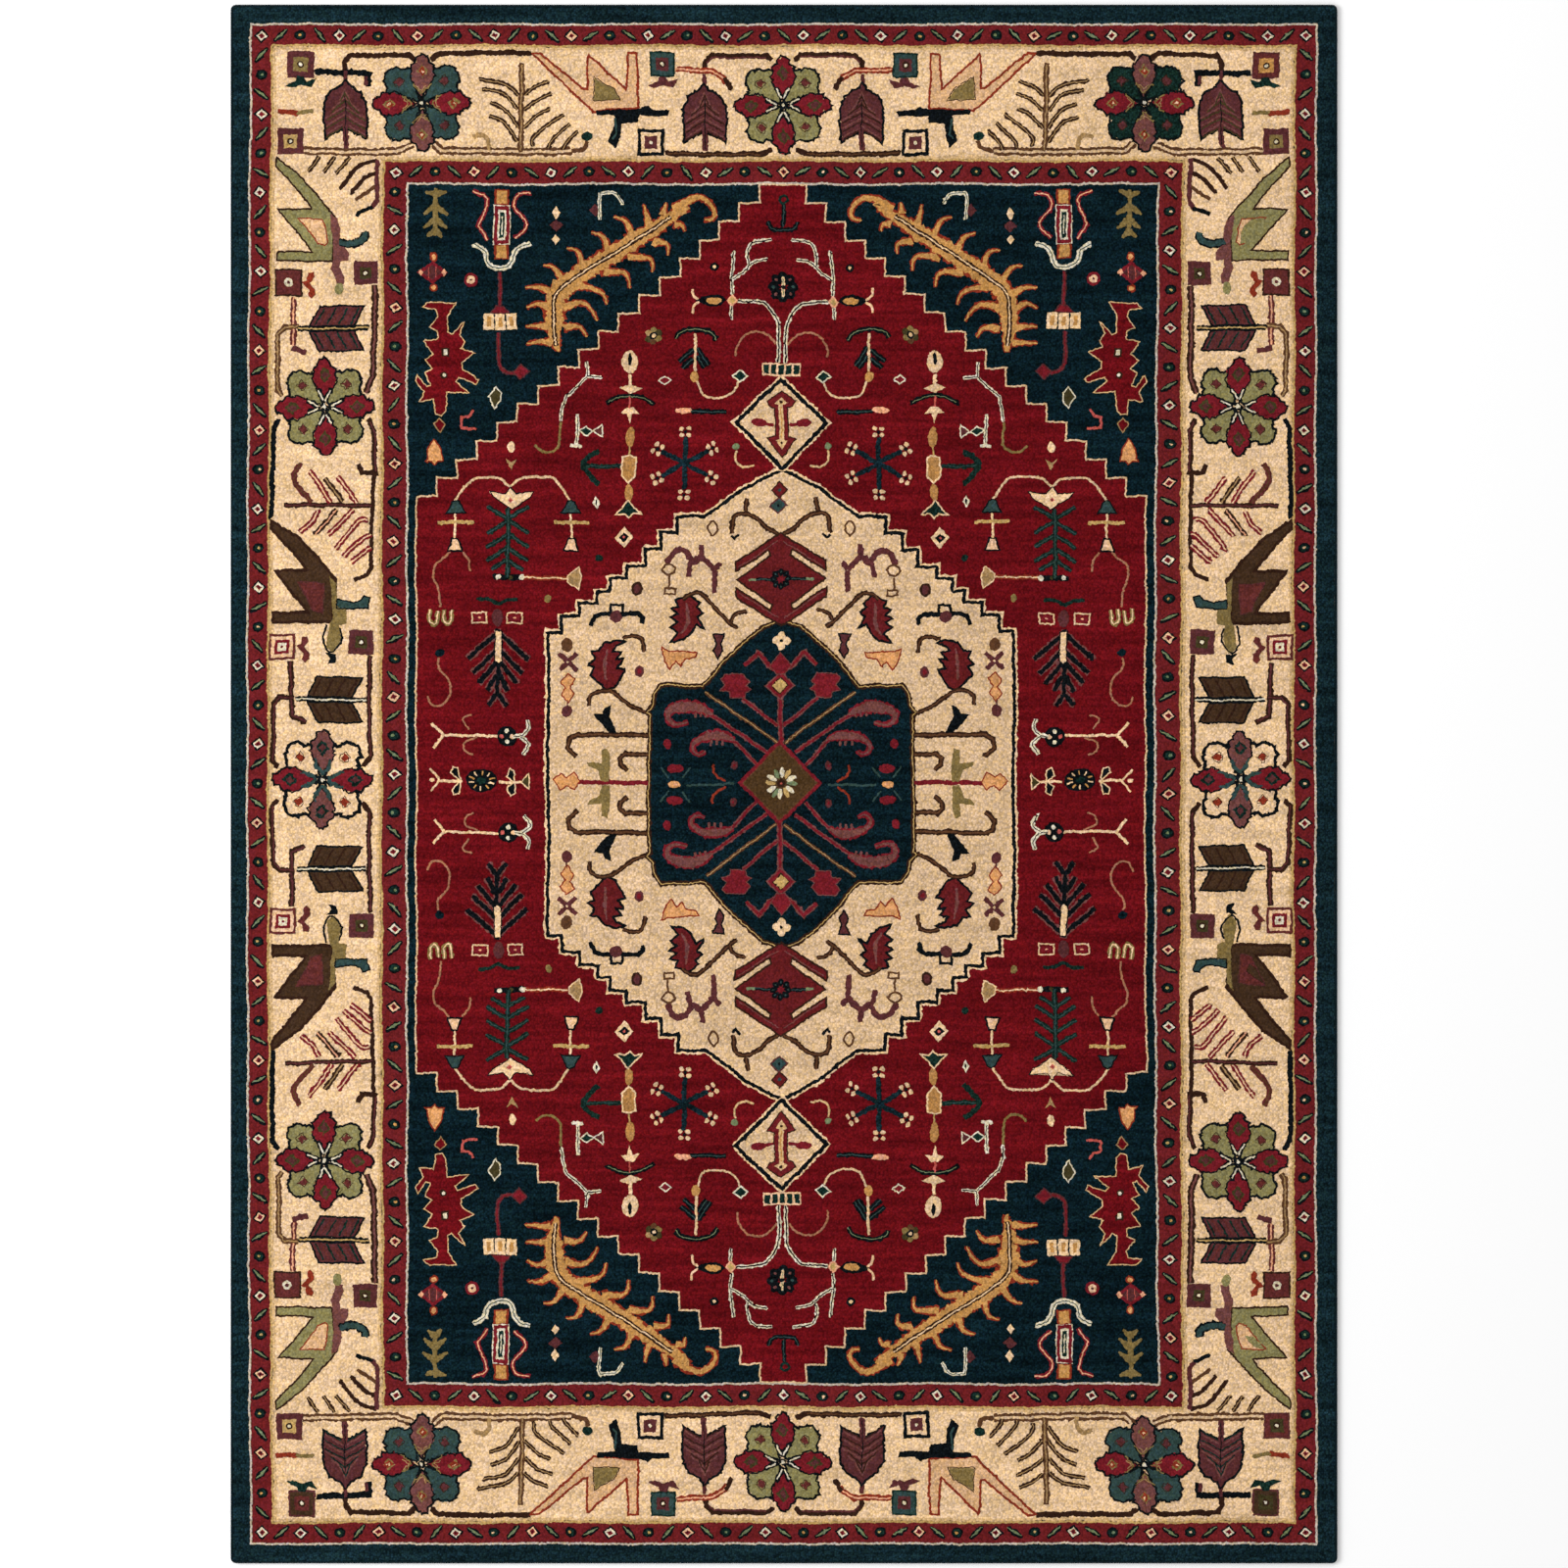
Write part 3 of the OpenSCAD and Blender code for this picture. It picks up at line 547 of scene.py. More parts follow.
def midway(outer, inner):
    """Half width and half length of the line between two edges."""
    return [(a + b) / 2 for a, b in zip(outer, inner)]


PIPING_W = 0.46
GOLD_W, SAND_W = 0.5, 0.65  # the two rows of yarn along each edge of the main border; their fade from gold through sand to ivory also paints the shade near the band edges
ROW_GAP = 0.55


def draw_frames():
    """The piping and the gold rows along the bands, which also paint shade at the main border's edges,
    and the piping of the stepped edge.
    """
    k = Brush("bands")
    k.frame("chalk", PIPING_W, *midway(BORDER_IN, GUARD_OUT))
    for half_w, half_l, inward in ((110.8, 160.0, 1), (86.7, 135.1, -1)):
        k.frame("straw", GOLD_W, half_w, half_l)
        k.frame("sand", SAND_W, half_w - ROW_GAP * inward, half_l - ROW_GAP * inward)
    k.frame("chalk", PIPING_W, *midway(INNER_IN, FIELD_OUT))
    Brush("field").line("cream", 0.42, *flat(FIELD), loop=True)


# ---------- guard bands ----------

GUARD_LEAN = 12  # how far a figure of the guard bands may turn, in degrees
WHITE_RINGS = 0.6  # the part of the rings that are white
DISC_HEARTS = ("gold", "straw", "shell", "leafgreen")


def guard_row(zone, start, end, count, rng):
    """Bars, discs and rings from a corner at start to one at end."""
    level = Brush(zone)
    tilt = 1 if start[1] == end[1] else -1
    for i in range(count):
        x = start[0] + (end[0] - start[0]) * i / count
        y = start[1] + (end[1] - start[1]) * i / count
        k = level.at(x, y, rng.uniform(-GUARD_LEAN, GUARD_LEAN))
        if i % 4 == 0:
            nested(k.diamond, 0, 0, ("ink", 1.75, 1.65),
                   ("white" if rng.random() < WHITE_RINGS else "shell", 1.35, 1.25),
                   ("red", 0.85, 0.75))
            k.dot("ink", 0, 0, 0.3)
        elif i % 4 == 2:
            nested(k.dot, 0, 0, ("ink", 1.3, 1.15), ("forest", 0.95, 0.85))
            k.dot(rng.choice(DISC_HEARTS), rng.uniform(-0.3, 0.3), 0, 0.45, 0.4)
        else:
            lean = tilt * (1 if i % 4 == 1 else -1)
            k.line("ink", [0.7, 1.5, 0.7], -1.55 * lean, -1.3, 1.55 * lean, 1.3)
            k.line("leafgreen", [0.3, 0.75, 0.3], -1.3 * lean, -0.9, 1.4 * lean, 1.2)


def draw_guards():
    """Both guard bands, from the middle line's corner and the figures on a short and a long side."""
    rng = random.Random(SEED)
    for (x, y), across, along in (((113.1, 162.2), 54, 76), ((84.2, 132.6), 40, 63)):
        for start, end, count in (((-x, y), (x, y), across), ((x, y), (x, -y), along),
                                  ((x, -y), (-x, -y), across), ((-x, -y), (-x, y), along)):
            guard_row("guards", start, end, count, rng)


# ---------- main border ----------

QUARTER_TURNS = (0, 90, 180, 270)
PETALS_OVER = 12  # orders between a rosette's lower and upper petals
HUB_OVER = 26  # and between its lower petals and its hub
HEART_OVER = 4  # and between the petals and the heart of a small flower


def rosette(k, diagonal, upright, level, spots, rim=0.5):
    """An eight-petalled flower about (0, 0): four square petals on the diagonals under four
    pointed ones on the axes. Yields a brush for each pointed petal, turned to point up."""
    k.rough = RAGGED
    for turn in QUARTER_TURNS:
        p = k.at(*k.origin, turn)
        p.edged("ink", diagonal, 0.5, 0.9, 1.9, 5, 2.3, 7.6, 3.8, 7.4, 5, 8, 6.6, 7.7, 7.6, 6.8,
                8, 5.2, 7.4, 3.9, 7.7, 2.4, 5, 1.9, 0.9, 0.5, width=rim)
        p.edged("umber", spots, 4.8, 6, 3.6, 4.8, 4.8, 3.6, 6, 4.8, width=0.3)
    for turn, fill in zip(QUARTER_TURNS, (upright, level, upright, level)):
        p = k.at(*k.origin, turn)
        p.order = k.order + PETALS_OVER
        p.edged("ink", fill, *mirrored(0, 1.2, -1, 3, -2.1, 4.6, -2.7, 6.2, -2.3, 7,
                                       -2.5, 8.2, -1.4, 9, -1.1, 10.1, 0, 10.6))
        yield p


def rosette_teal(k):
    for p in rosette(k, "teal", "mauve", "red", "maroon"):
        nested(p.diamond, 0, 7, ("olive", 1.4, 1.5), ("rust", 1, 1.1), ("shell", 0.4, 0.5))
        p.line("olive", 0.45, -1.9, 4.2, 0, 2.2, 1.9, 4.2)
        p.line("tan", 0.3, -1, 3.9, 0, 2.9, 1, 3.9)
    hub(k)


def rosette_olive(k):
    for p in rosette(k, "sage", "red", "red", "wine", rim=0.6):
        nested(p.diamond, 0, 7, ("moss", 1.6, 1.9), ("maroon", 0.9, 1.2))
        for side in (-1, 1):
            p.line("ink", 1.1, side * 1.4, 4, side * 0.1, 1.6)
        p.rough = WANDER
        for side in (-1, 1):
            p.line("white", 0.5, side * 1.3, 3.7, side * 0.2, 1.5)
    hub(k)


def rosette_ivory(k):
    for p in rosette(k, "ivory", "mauve", "red", "rust", rim=0.8):
        nested(p.diamond, 0, 6.9, ("forest", 1.7, 1.9), ("maroon", 0.95, 1.1))
        for side in (-1, 1):
            p.line("teal", [0.5, 1.1, 0.6], side * 1.6, 4.6, side * 1.2, 2.8, 0, 1.2, bend=True)
    hub(k)


def hub(k):
    """A rosette's heart, over all of its petals."""
    k.order += HUB_OVER
    nested(k.dot, 0, 0, ("ink", 0.95), ("white", 0.55))


def arrow_leaf(k, fill, vein):
    """A leaf like a broad arrowhead that points up, about (0, 0)."""
    k.line(fill, 0.9, 0, 6.4, 0, 8.6)
    k.rough = LEAF_RAGGED
    k.edged("ink", fill, 0, 6.8, -1, 5.3, -3.4, 4, -4.6, 1.6, -4.6, -6.3, -3.4, -5.3, -1.2, -4.2,
            0, -3.7, 1.2, -4.2, 3.4, -5.3, 4.6, -6.3, 4.7, 1.6, 3.4, 4, 1, 5.3, width=0.6)
    k.rough = WANDER
    for i in range(5):
        y = -4.6 + 1.8 * i
        reach = min(4.2, 8.4 - 1.8 * i)
        k.line("mauve", 0.5, -reach, y - 0.6, 0, y + 2, reach, y - 0.6)
        k.line(vein, 0.45, -reach, y - 1.2, 0, y + 1.3, reach, y - 1.2)
    k.line(fill, 1.2, 0, -2.6, 0, -8)
    k.line("ink", 0.35, 0, 3, 0, -7.4)


def side_leaf(k, fill, vein, bright, core):
    """A feathered leaf that points up, with its two vanes apart, about (0, 0)."""
    for side in (-1, 1):
        k.edged("ink", fill, side * 0.6, 5.1, side * 4.9, 3, side * 4.8, -6.5, side * 0.6, -4.3)
        for i in range(7):
            y = 4 - 1.25 * i
            k.line(bright if i % 2 else vein, 0.6, side * 0.9, y, side * 4.4, y - 1.9)
    k.double("ink", core, 1.2, 0, 7.6, 0, -7.4)


def square(k, outer, middle, x, y, half, rim="maroon"):
    """A square with a rim and two fields of yarn, and a white dot."""
    nested(k.block, x, y, (rim, half), (outer, half - 0.28), (middle, half - 1.25))
    nested(k.dot, x, y, ("umber", 0.85), ("white", 0.5))


def moustache(k, yarn, x, y):
    """The small dark figure under a leaf."""
    k.patch(yarn, *moved(x, y, -3.4, -0.7, -1.2, 0.4, -0.7, 1.5, 0.7, 1.5, 1.2, 0.4, 3.4, 0.9,
                         2.2, -0.9, 0, -0.3, -2, -1.1))


def bird(k):
    """The angular bird of the long sides, drawn for the corner; its neck runs to the rim."""
    k.edged("umber", "sage", -109.6, 135.6, -104.3, 131.5, -98.6, 125, -96.5, 122.4, -97.3, 118,
            -97.4, 113.5, -109.5, 113.5, -109.5, 115.3, -101.6, 115.4, -105, 119.6, -109.2, 124.4,
            -101.8, 124.6, -103, 126.5, -109.8, 133.9)
    k.edged("rust", "peach", -104.8, 122.6, -99.4, 122.5, -98.8, 120.6, -98.5, 117.4, -99.1, 116.8,
            -100.6, 117.3, -101.5, 118.7, -103, 120.5, width=0.45)
    k.patch("mauve", -98, 123.8, -96.4, 122.6, -95.7, 120.6, -95.6, 118.2, -94.8, 116.4, -93.9, 115.2,
            -94, 113.5, -95.7, 113.5, -95.8, 112.2, -95, 109.8, -95.1, 108.4, -96.7, 108.4,
            -96.9, 109.6, -97.8, 111.8, -97.3, 113.4, -97.4, 118)
    k.dot("sage", -96.2, 107.5, 0.95, 1.4)
    k.double("ink", "teal", 1.9, -96, 117.6, -93.2, 117.2, -91.1, 117.8, -90.3, 118.8, -90.5, 119.6,
             share=0.7, bend=True)


def bird_dark(k):
    """The second bird of each long side, with a curled foot."""
    k.edged("umber", "bark", -110.2, 57.2, -104.3, 53.2, -98.6, 46.8, -96.5, 44.2, -97, 40, -97.2, 35,
            -109.8, 35, -109.8, 37, -102.4, 37, -105, 40.4, -109.4, 46.1, -102.6, 46.3, -103.8, 48.2,
            -110.2, 55.4, width=0.75)
    k.edged("maroon", "wine", -104.8, 43.8, -99.1, 43.3, -99.3, 36.9, -101.7, 37.6, -102.6, 39.8,
            width=0.35)
    k.patch("olive", -97.9, 45.2, -96.4, 43.4, -96.5, 38.6, -94.3, 38.2, -94.2, 34.9, -95.9, 34.3,
            -95.4, 31.3, -96.8, 28.4, -98.4, 29.6, -98, 34, -97.2, 36)
    k.line("ink", 0.45, -98.6, 34.4, -99, 31, -97.6, 28.6, -95.2, 31, -95.8, 33.8, bend=True)
    k.patch("ink", -98.6, 28.4, -96.2, 28.2, -96.4, 26.4, -98.2, 26, -97.6, 27.2)
    k.edged("ink", "teal", -96.4, 39.9, -92.8, 39.3, -91.2, 39.8, -90.5, 40.8, -89.2, 40.4,
            -89.9, 38.2, -96.3, 38, width=0.4)


def bird_pink(k):
    """The bird of the short sides: a pale zigzag body on a dark perch."""
    k.edged("rust", "peach", -54.7, 158.4, -53, 158.4, -43.6, 150.6, -42.8, 150.5, -42.5, 158,
            -34.2, 150.3, -33.7, 158.2, -31.9, 158.2, -31.8, 146.4, -41.4, 145.8, width=0.6)
    k.edged("umber", "olive", -41.3, 153.2, -36.9, 150.6, -35.7, 148.1, -41.5, 148.1, width=0.35)
    k.patch("ink", -41, 146, -31.4, 146.3, -29.6, 146.9, -28.6, 146.1, -24.8, 146, -25.2, 144.8,
            -31.6, 144.7, -31.9, 143.2, -35.2, 143, -35.6, 140.2, -36.4, 137.6, -38.2, 139.2,
            -37, 142.4, -36.8, 144.8, -40.6, 144.9)
    k.line("teal", 0.6, -36.6, 144.2, -36.4, 140.8, -37.2, 139.6)


def border_vines(k):
    """The dark lines that link the flowers all the way round the border."""
    k.line("umber", 1.2, -95, 153.4, -95, 156.4, -94, 157.9, -81.4, 158.2, -79.8, 157)
    k.line("umber", 1.2, -76.6, 157, -75.2, 158.2, -54.8, 158.5)
    k.double("brown", "cream", 1.75, -104, 137.2, -84, 137.1, -80.6, 138.6)
    k.double("brown", "cream", 1.75, -76, 138.8, -74.4, 137.1, -46, 137.2)
    k.line("brown", 1, -46, 137.1, -43.2, 137.8, -42.5, 139.4, bend=True)
    k.dot("forest", -42.6, 140.4, 1.2, 1)
    k.line("tan", 1, -64, 137.3, -64.2, 139.6, -65.4, 140.6, -67.4, 140.2, bend=True)
    k.line("ink", 1.3, -101.4, 154.2, -89.8, 154.2, -89.9, 151.4)
    k.line("maroon", 0.9, -90.3, 153.6, -90.4, 151.6)
    k.line("umber", 1.1, -17.2, 154.4, -17, 156.5, -15.5, 158, -3.6, 157.9, -2.4, 156.8)
    k.line("maroon", 0.5, -16.6, 156.4, -15.3, 157.6, -3.8, 157.5)
    k.line("umber", 1.2, -25.8, 136.8, -5, 136.4, -2.6, 137.4)
    k.line("brown", 0.5, -25.4, 136.8, -5, 136.4)
    k.double("rust", "pink", 1.3, -23.4, 154.9, -15.5, 154.6, -13, 153.2, -12.4, 152.2)
    k.line("umber", 1.1, -12.8, 153.2, -11.3, 150.6)
    # down the long side
    k.double("umber", "mauve", 1.45, -88.4, 108, -88.6, 88, -90, 84.6)
    k.double("wine", "pink", 1.3, -105.9, 105.6, -105.7, 95.2)
    k.line("maroon", 1.2, -105.9, 94.6, -102.8, 93.7)
    k.double("brown", "tan", 1.2, -104.8, 99.3, -107.6, 99.2, -109, 97.6, -109, 85.4, -108.2, 84.2)
    k.line("ink", 1.1, -108.8, 79.2, -110, 77.3, -110.1, 57.6)
    k.line("umber", 1.1, -89.5, 79, -88.5, 76.4, -88.4, 67.3, -91.2, 67.4, -91.9, 69.2)
    k.line("maroon", 0.5, -89.2, 78.4, -88.3, 76.2, -88.2, 67.6)
    k.line("umber", 0.9, -88.6, 67, -88.8, 46.8, -89.8, 45.4, -92.6, 44.2)
    k.line("umber", 1.2, -105.9, 26.4, -105.8, 14.6, -102.8, 13.2)
    k.line("maroon", 0.6, -105.9, 26.2, -105.8, 14.8, -103, 13.5)
    k.line("umber", 1.1, -105.2, 18.7, -108.4, 18.7, -109.8, 17.2, -110, 5, -108.6, 3.6)
    k.line("maroon", 0.5, -105.4, 18.7, -108.2, 18.6, -109.6, 17, -109.8, 5)
    k.line("umber", 1.1, -89.1, 28, -89.2, 6, -90.6, 4)
    k.line("maroon", 0.5, -89.1, 27.6, -89.2, 6.2)


def corner_barbs(k):
    """The barbs and curves at the inner corner of the border."""
    for xy in ((-100.6, 136, -102.9, 132.8), (-97.2, 136, -99.6, 132.6), (-94, 135.8, -97, 132.5)):
        k.line("umber", 0.95, *xy)
        k.line("tan", 0.35, *xy)
    k.line("umber", 0.9, -88.3, 135.4, -91.5, 134.4, -93.6, 132.4, -96, 129.2, bend=True)
    k.line("umber", 0.9, -88.3, 132.4, -90.6, 131.6, -93.8, 128.1, bend=True)
    k.line("brown", 0.8, -88.2, 129.8, -92.5, 126.8)
    k.line("maroon", 1, -88.2, 135.6, -88, 126.5, -89, 124.9)
    k.line("ink", 0.9, -88.8, 125, -90.4, 124.5, -92.5, 123.6)


def spray(k):
    """The twig of the short sides."""
    k.line("brown", 1.2, -57, 156.3, -56.9, 137.2)
    k.line("tan", 0.5, -57, 156, -56.9, 137.4)
    for xy in (
            (-56.3, 149.3, -54.4, 151, -51.1, 152.5), (-56.3, 146.1, -53.6, 148.4, -50.4, 149.8),
            (-56.4, 142.3, -53.6, 145, -50.9, 146.4), (-54.3, 138.4, -53.9, 140.7, -47.9, 145.2),
            (-50.9, 137.9, -50.3, 139.6, -46.4, 143.2), (-47.8, 137.5, -47.2, 138.9, -44.7, 141.3),
            (-57.6, 149.3, -60.2, 151.4, -66.2, 152.7), (-57.6, 146.1, -60.4, 149.4, -65.2, 150.6),
            (-57.6, 142.3, -60.2, 146, -63.6, 147.6), (-57.6, 139.3, -60.6, 143.4, -63.9, 144.7)):
        k.line("umber", 0.95, *xy, bend=True)
        k.line("tan", 0.35, *xy, bend=True)


def side_spray(k):
    """The twig of the long sides, which lies across the border."""
    k.line("umber", 1, -107.4, 60.5, -88.6, 60.2)
    k.line("maroon", 0.5, -107.2, 60.5, -88.8, 60.2)
    for edge, core, xy in (
            ("wine", "brown", (-101.5, 61, -105.1, 65.3, -105.3, 67.6, -104.2, 69.6)),
            ("red", "shell", (-97.5, 60.8, -99.8, 64.4, -102.2, 67.8)),
            ("umber", "tan", (-95.1, 61, -98.9, 66.2)),
            ("red", "shell", (-92, 60.8, -96.1, 66.4)),
            ("red", "shell", (-100.2, 59.2, -101.6, 56.6, -104, 54.5)),
            ("umber", "pink", (-96.2, 59.2, -100.6, 54)),
            ("red", "shell", (-92.6, 59.4, -97.9, 53.8)),
            ("red", "shell", (-89.4, 57.1, -91.6, 56.6, -96.4, 50.8)),
            ("red", "shell", (-88.9, 54.1, -90.7, 53, -94.7, 49.2)),
            ("red", "shell", (-88.9, 51.4, -93.1, 47.9))):
        k.double(edge, core, 1.2, *xy, bend=True)


def twin_bud(k, yarn, x, y):
    """A forked bud beside a square."""
    k.patch(yarn, *moved(x, y, -1.6, 0.3, -0.6, 0.6, -0.3, 2.2, 0.8, 2.3, 1.1, 1.3, 0, 0,
                         1.2, -1.4, 1.2, -2.6, 0.4, -3.4, -0.3, -2.6, 0, -1.5, -1, -0.5))


# The yarns of the squares near the corners, in the order of quarters()
CORNER_SQUARE = (("maroon", "olive"), ("wine", "gold"), ("bark", "wine"), ("bark", "moss"))
SECOND_SQUARE = (("maroon", "straw"), ("maroon", "olive"), ("maroon", "straw"), ("wine", "moss"))


def draw_border():
    for k in quarters("border"):
        border_vines(k)
    for k in quarters("border", 1, {"ur": {"teal": "forest"}}):
        corner_barbs(k)
        spray(k)
        side_spray(k)
        rosette_teal(k.at(-78.4, 147.5))
        rosette_olive(k.at(-98.9, 81.7))
    for k, corner, second, vein in zip(quarters("border", 1), CORNER_SQUARE, SECOND_SQUARE,
                                       ("moss", "moss", "forest", "forest")):
        arrow_leaf(k.at(-94.9, 146), "maroon", vein)
        arrow_leaf(k.at(-17.2, 145.3), "maroon", "umber")
        side_leaf(k.at(-97.2, 98.8, 90), "maroon", "forest", "wine", "straw")
        side_leaf(k.at(-97.2, 18.3, 90), "bark", "umber", "bark", "white")
        bird(k)
        bird_dark(k)
        bird_pink(k)
        square(k, *corner, -104.5, 155.8, 2.9)
        square(k, *second, -106.8, 139.2, 2.8)
        square(k, "maroon", "moss", -90.3, 110.8, 2.55)
        square(k, "wine", "wine", -107, 108.7, 2.95, "umber")
        nested(k.dot, -107, 108.7, ("white", 1.05), ("maroon", 0.5))
        square(k, "teal", "maroon", -26.3, 155.9, 2.7, "forest")
        nested(k.block, -28.9, 139, ("ink", 2.9), ("ivory", 2.25), ("maroon", 1.5))
        k.dot("white", -28.9, 139, 0.5)
        nested(k.block, -107.8, 29.6, ("wine", 2.8), ("shell", 2.35), ("red", 1.65), ("white", 1))
        k.dot("red", -107.8, 29.6, 0.45)
        square(k, "maroon", "moss", -91.1, 30.8, 2.6)
        moustache(k, "forest", -104.5, 151.8)
        moustache(k, "maroon", -26.3, 151.8)
        k.line("rust", 1.1, -109.7, 145.6, -105.4, 145.3, bend=True)
        k.line("olive", 0.8, -105.6, 145.3, -101.8, 145.7, bend=True)
        twin_bud(k, "rust", -102.5, 108.7)
        twin_bud(k, "wine", -103.2, 29.6)
    for k in ends("border", 1):
        rosette_olive(k.at(0, 147))
    for k in sides("border", 1):
        rosette_ivory(k.at(-99.3, 1))


# ---------- spandrels ----------

def feather(k):
    """The gold feather along the stepped edge."""
    axis = (-49.2, 93.6, -49.8, 98, -49.6, 103, -48.4, 106.6, -44, 110.4, -34, 116.8,
            -24, 123.2, -20.8, 125.8)
    tail = (-24, 124.8, -19, 127.2, -16.5, 126.5, -15, 124.8, -14.8, 123.5, -15.3, 122.7,
            -17, 122.4)
    barbs = (
        (-47.9, 108.8, -49.2, 111, -50.4, 112.2, -52.2, 112.5),
        (-44, 111.2, -44.4, 114.2, -45.4, 115.6, -47.3, 115.9),
        (-38.2, 114.9, -39, 117.6, -40.2, 118.9, -42, 119.4),
        (-33, 118.2, -33.9, 121.2, -35, 122.4, -36.9, 122.8),
        (-29.3, 121, -29.8, 123.4, -30.2, 125.5), (-26, 123.4, -25.4, 126.1),
        (-23.6, 121.4, -21.9, 121.4, -21.4, 119.9), (-28.4, 117.6, -25.4, 117.1, -25.2, 114.8),
        (-34, 114.2, -30, 114.2, -28.8, 113.2, -28.6, 111),
        (-39.4, 110.9, -35.4, 110.9, -34, 109.7, -33.6, 107.6),
        (-45, 107.9, -40.8, 107.1, -39, 105.8, -38.4, 103.8),
        (-47.6, 103.2, -44, 104.1, -41.8, 103, -40.3, 100.4),
        (-47.6, 98.8, -44.4, 98.9, -42.7, 97),
        (-50.4, 106.4, -52.6, 107.6, -55.8, 107.6), (-50.8, 102.9, -53.3, 104.1, -55.8, 103.2),
        (-50.8, 98.8, -53.2, 99.2, -56, 99.2), (-50.4, 95.6, -52.8, 95.7, -56, 95.5))
    for yarn, axis_w, tail_w, barb_w in (
            ("rust", (1.2, 4.2, 4.4, 4.4, 4.4, 4.2, 3.9, 3, 2.2), (2.1, 2, 1.7, 1.4, 1.2),
             (2.2, 1.35, 0.75)),
            ("gold", (0.6, 3.6, 3.8, 3.8, 3.8, 3.6, 3.3, 2.4, 1.6), (1.5, 1.4, 1.1, 0.8, 0.6),
             (1.7, 0.85, 0.3))):
        k.line(yarn, axis_w, *axis, bend=True)
        k.line(yarn, tail_w, *tail, bend=True)
        for xy in barbs:
            k.line(yarn, barb_w, *xy, bend=True)
    k.double("umber", "ivory", 1.1, -49.5, 95, -49.9, 103, -48.6, 106.9, -44, 110.5, -34, 116.8,
             -24.4, 123, bend=True)


def serrated_leaf(k):
    """The red leaf with a toothed edge, and the bud under it."""
    k.edged("sand", "crimson", -78.4, 103.2, -77.3, 104.3, -71.2, 104.3, -72.3, 102.6, -73, 101.5,
            -73.2, 98, -72.2, 97.4, -69.4, 100.2, -70.6, 97.5, -69.4, 96, -70.3, 94.6, -67.2, 93.6,
            -70, 91.5, -69.8, 90, -66.4, 87.8, -66.9, 86.8, -70.6, 88.3, -71.2, 87.4, -68.2, 84.8,
            -73, 85.2, -73.3, 81, -74.1, 80.1, -75.4, 80.4, -75.9, 83.5, -78.9, 82.9, -78, 85.1,
            -79.9, 87.3, -79.4, 88.6, -77.5, 86.2, -76.5, 86.5, -77.8, 89.3, -76.3, 90.1, -78, 92,
            -76.2, 93.2, -78.2, 95.9, -75.2, 96.5, -75.4, 98.3, -77, 98.9, -75.1, 101.5, -75.5, 102.8,
            width=0.32)
    nested(k.block, -73.5, 93.6, ("umber", 0.95, 1.1), ("white", 0.5, 0.7))
    k.dot("umber", -73.8, 88.6, 0.9)
    k.dot("white", -73.7, 88.7, 0.5)
    k.edged("tan", "crimson", -74.5, 79.4, -75.7, 78.2, -74.5, 76.4, -73.3, 78.2, width=0.3)


def lantern(k):
    """The tall lantern by the top edge, and the stem with white blocks under it."""
    for y, half_h in ((127.3, 1.5), (115.5, 1.5)):
        nested(k.block, -61.3, y, ("rust", 1.6, half_h + 0.2), ("gold", 1.2, half_h))
    for yarn, half_w, half_h in (("white", 1.84, 4.32), ("red", 1.72, 4.2), ("white", 0.98, 3.4),
                                 ("forest", 0.62, 2.9), ("white", 0.22, 2.1)):
        k.block(yarn, -61.3, 121.3, half_w, half_h)
    k.double("red", "pink", 0.95, -67.5, 128.5, -66, 127.9, -65.2, 127.9, -64.4, 126.8, -64.8, 125,
             -66.3, 121, -65, 119.3, -64.4, 118, share=0.5)
    k.double("red", "pink", 0.95, -55, 128.1, -57.5, 128, -58.6, 126.5, -58.4, 124.8, -57, 123.2,
             -56, 121.8, -56.4, 120.3, -58.4, 118.4, share=0.5, bend=True)
    k.double("white", "teal", 1.08, -67.3, 117.1, -65, 115.7, -64.6, 114.8, -64.2, 113.2,
             -62.8, 112.2, -61.5, 111.9, -59.9, 112.2, -59, 113.5, -58.5, 115.1, -57.3, 116.5,
             -55.1, 117.3, share=0.36, bend=True)
    k.double("maroon", "red", 0.9, -61.4, 111, -61.5, 103.4, share=0.6)
    k.edged("maroon", "red", -63.6, 102.2, -62.2, 103.7, -60.8, 103.7, -59.4, 102.2, width=0.3)
    for x in (-64.1, -61.6, -59.1):
        nested(k.block, x, 100.3, ("ivory", 1.12, 1.75), ("gold", 0.55, 1.15))
    k.double("maroon", "red", 0.9, -62, 98, -62, 91.6, -60.9, 89.5, -58.8, 89, share=0.6, bend=True)
    k.edged("maroon", "red", -57.3, 90.9, -59, 89.3, -57.3, 87.7, -55.5, 89.3, width=0.35)


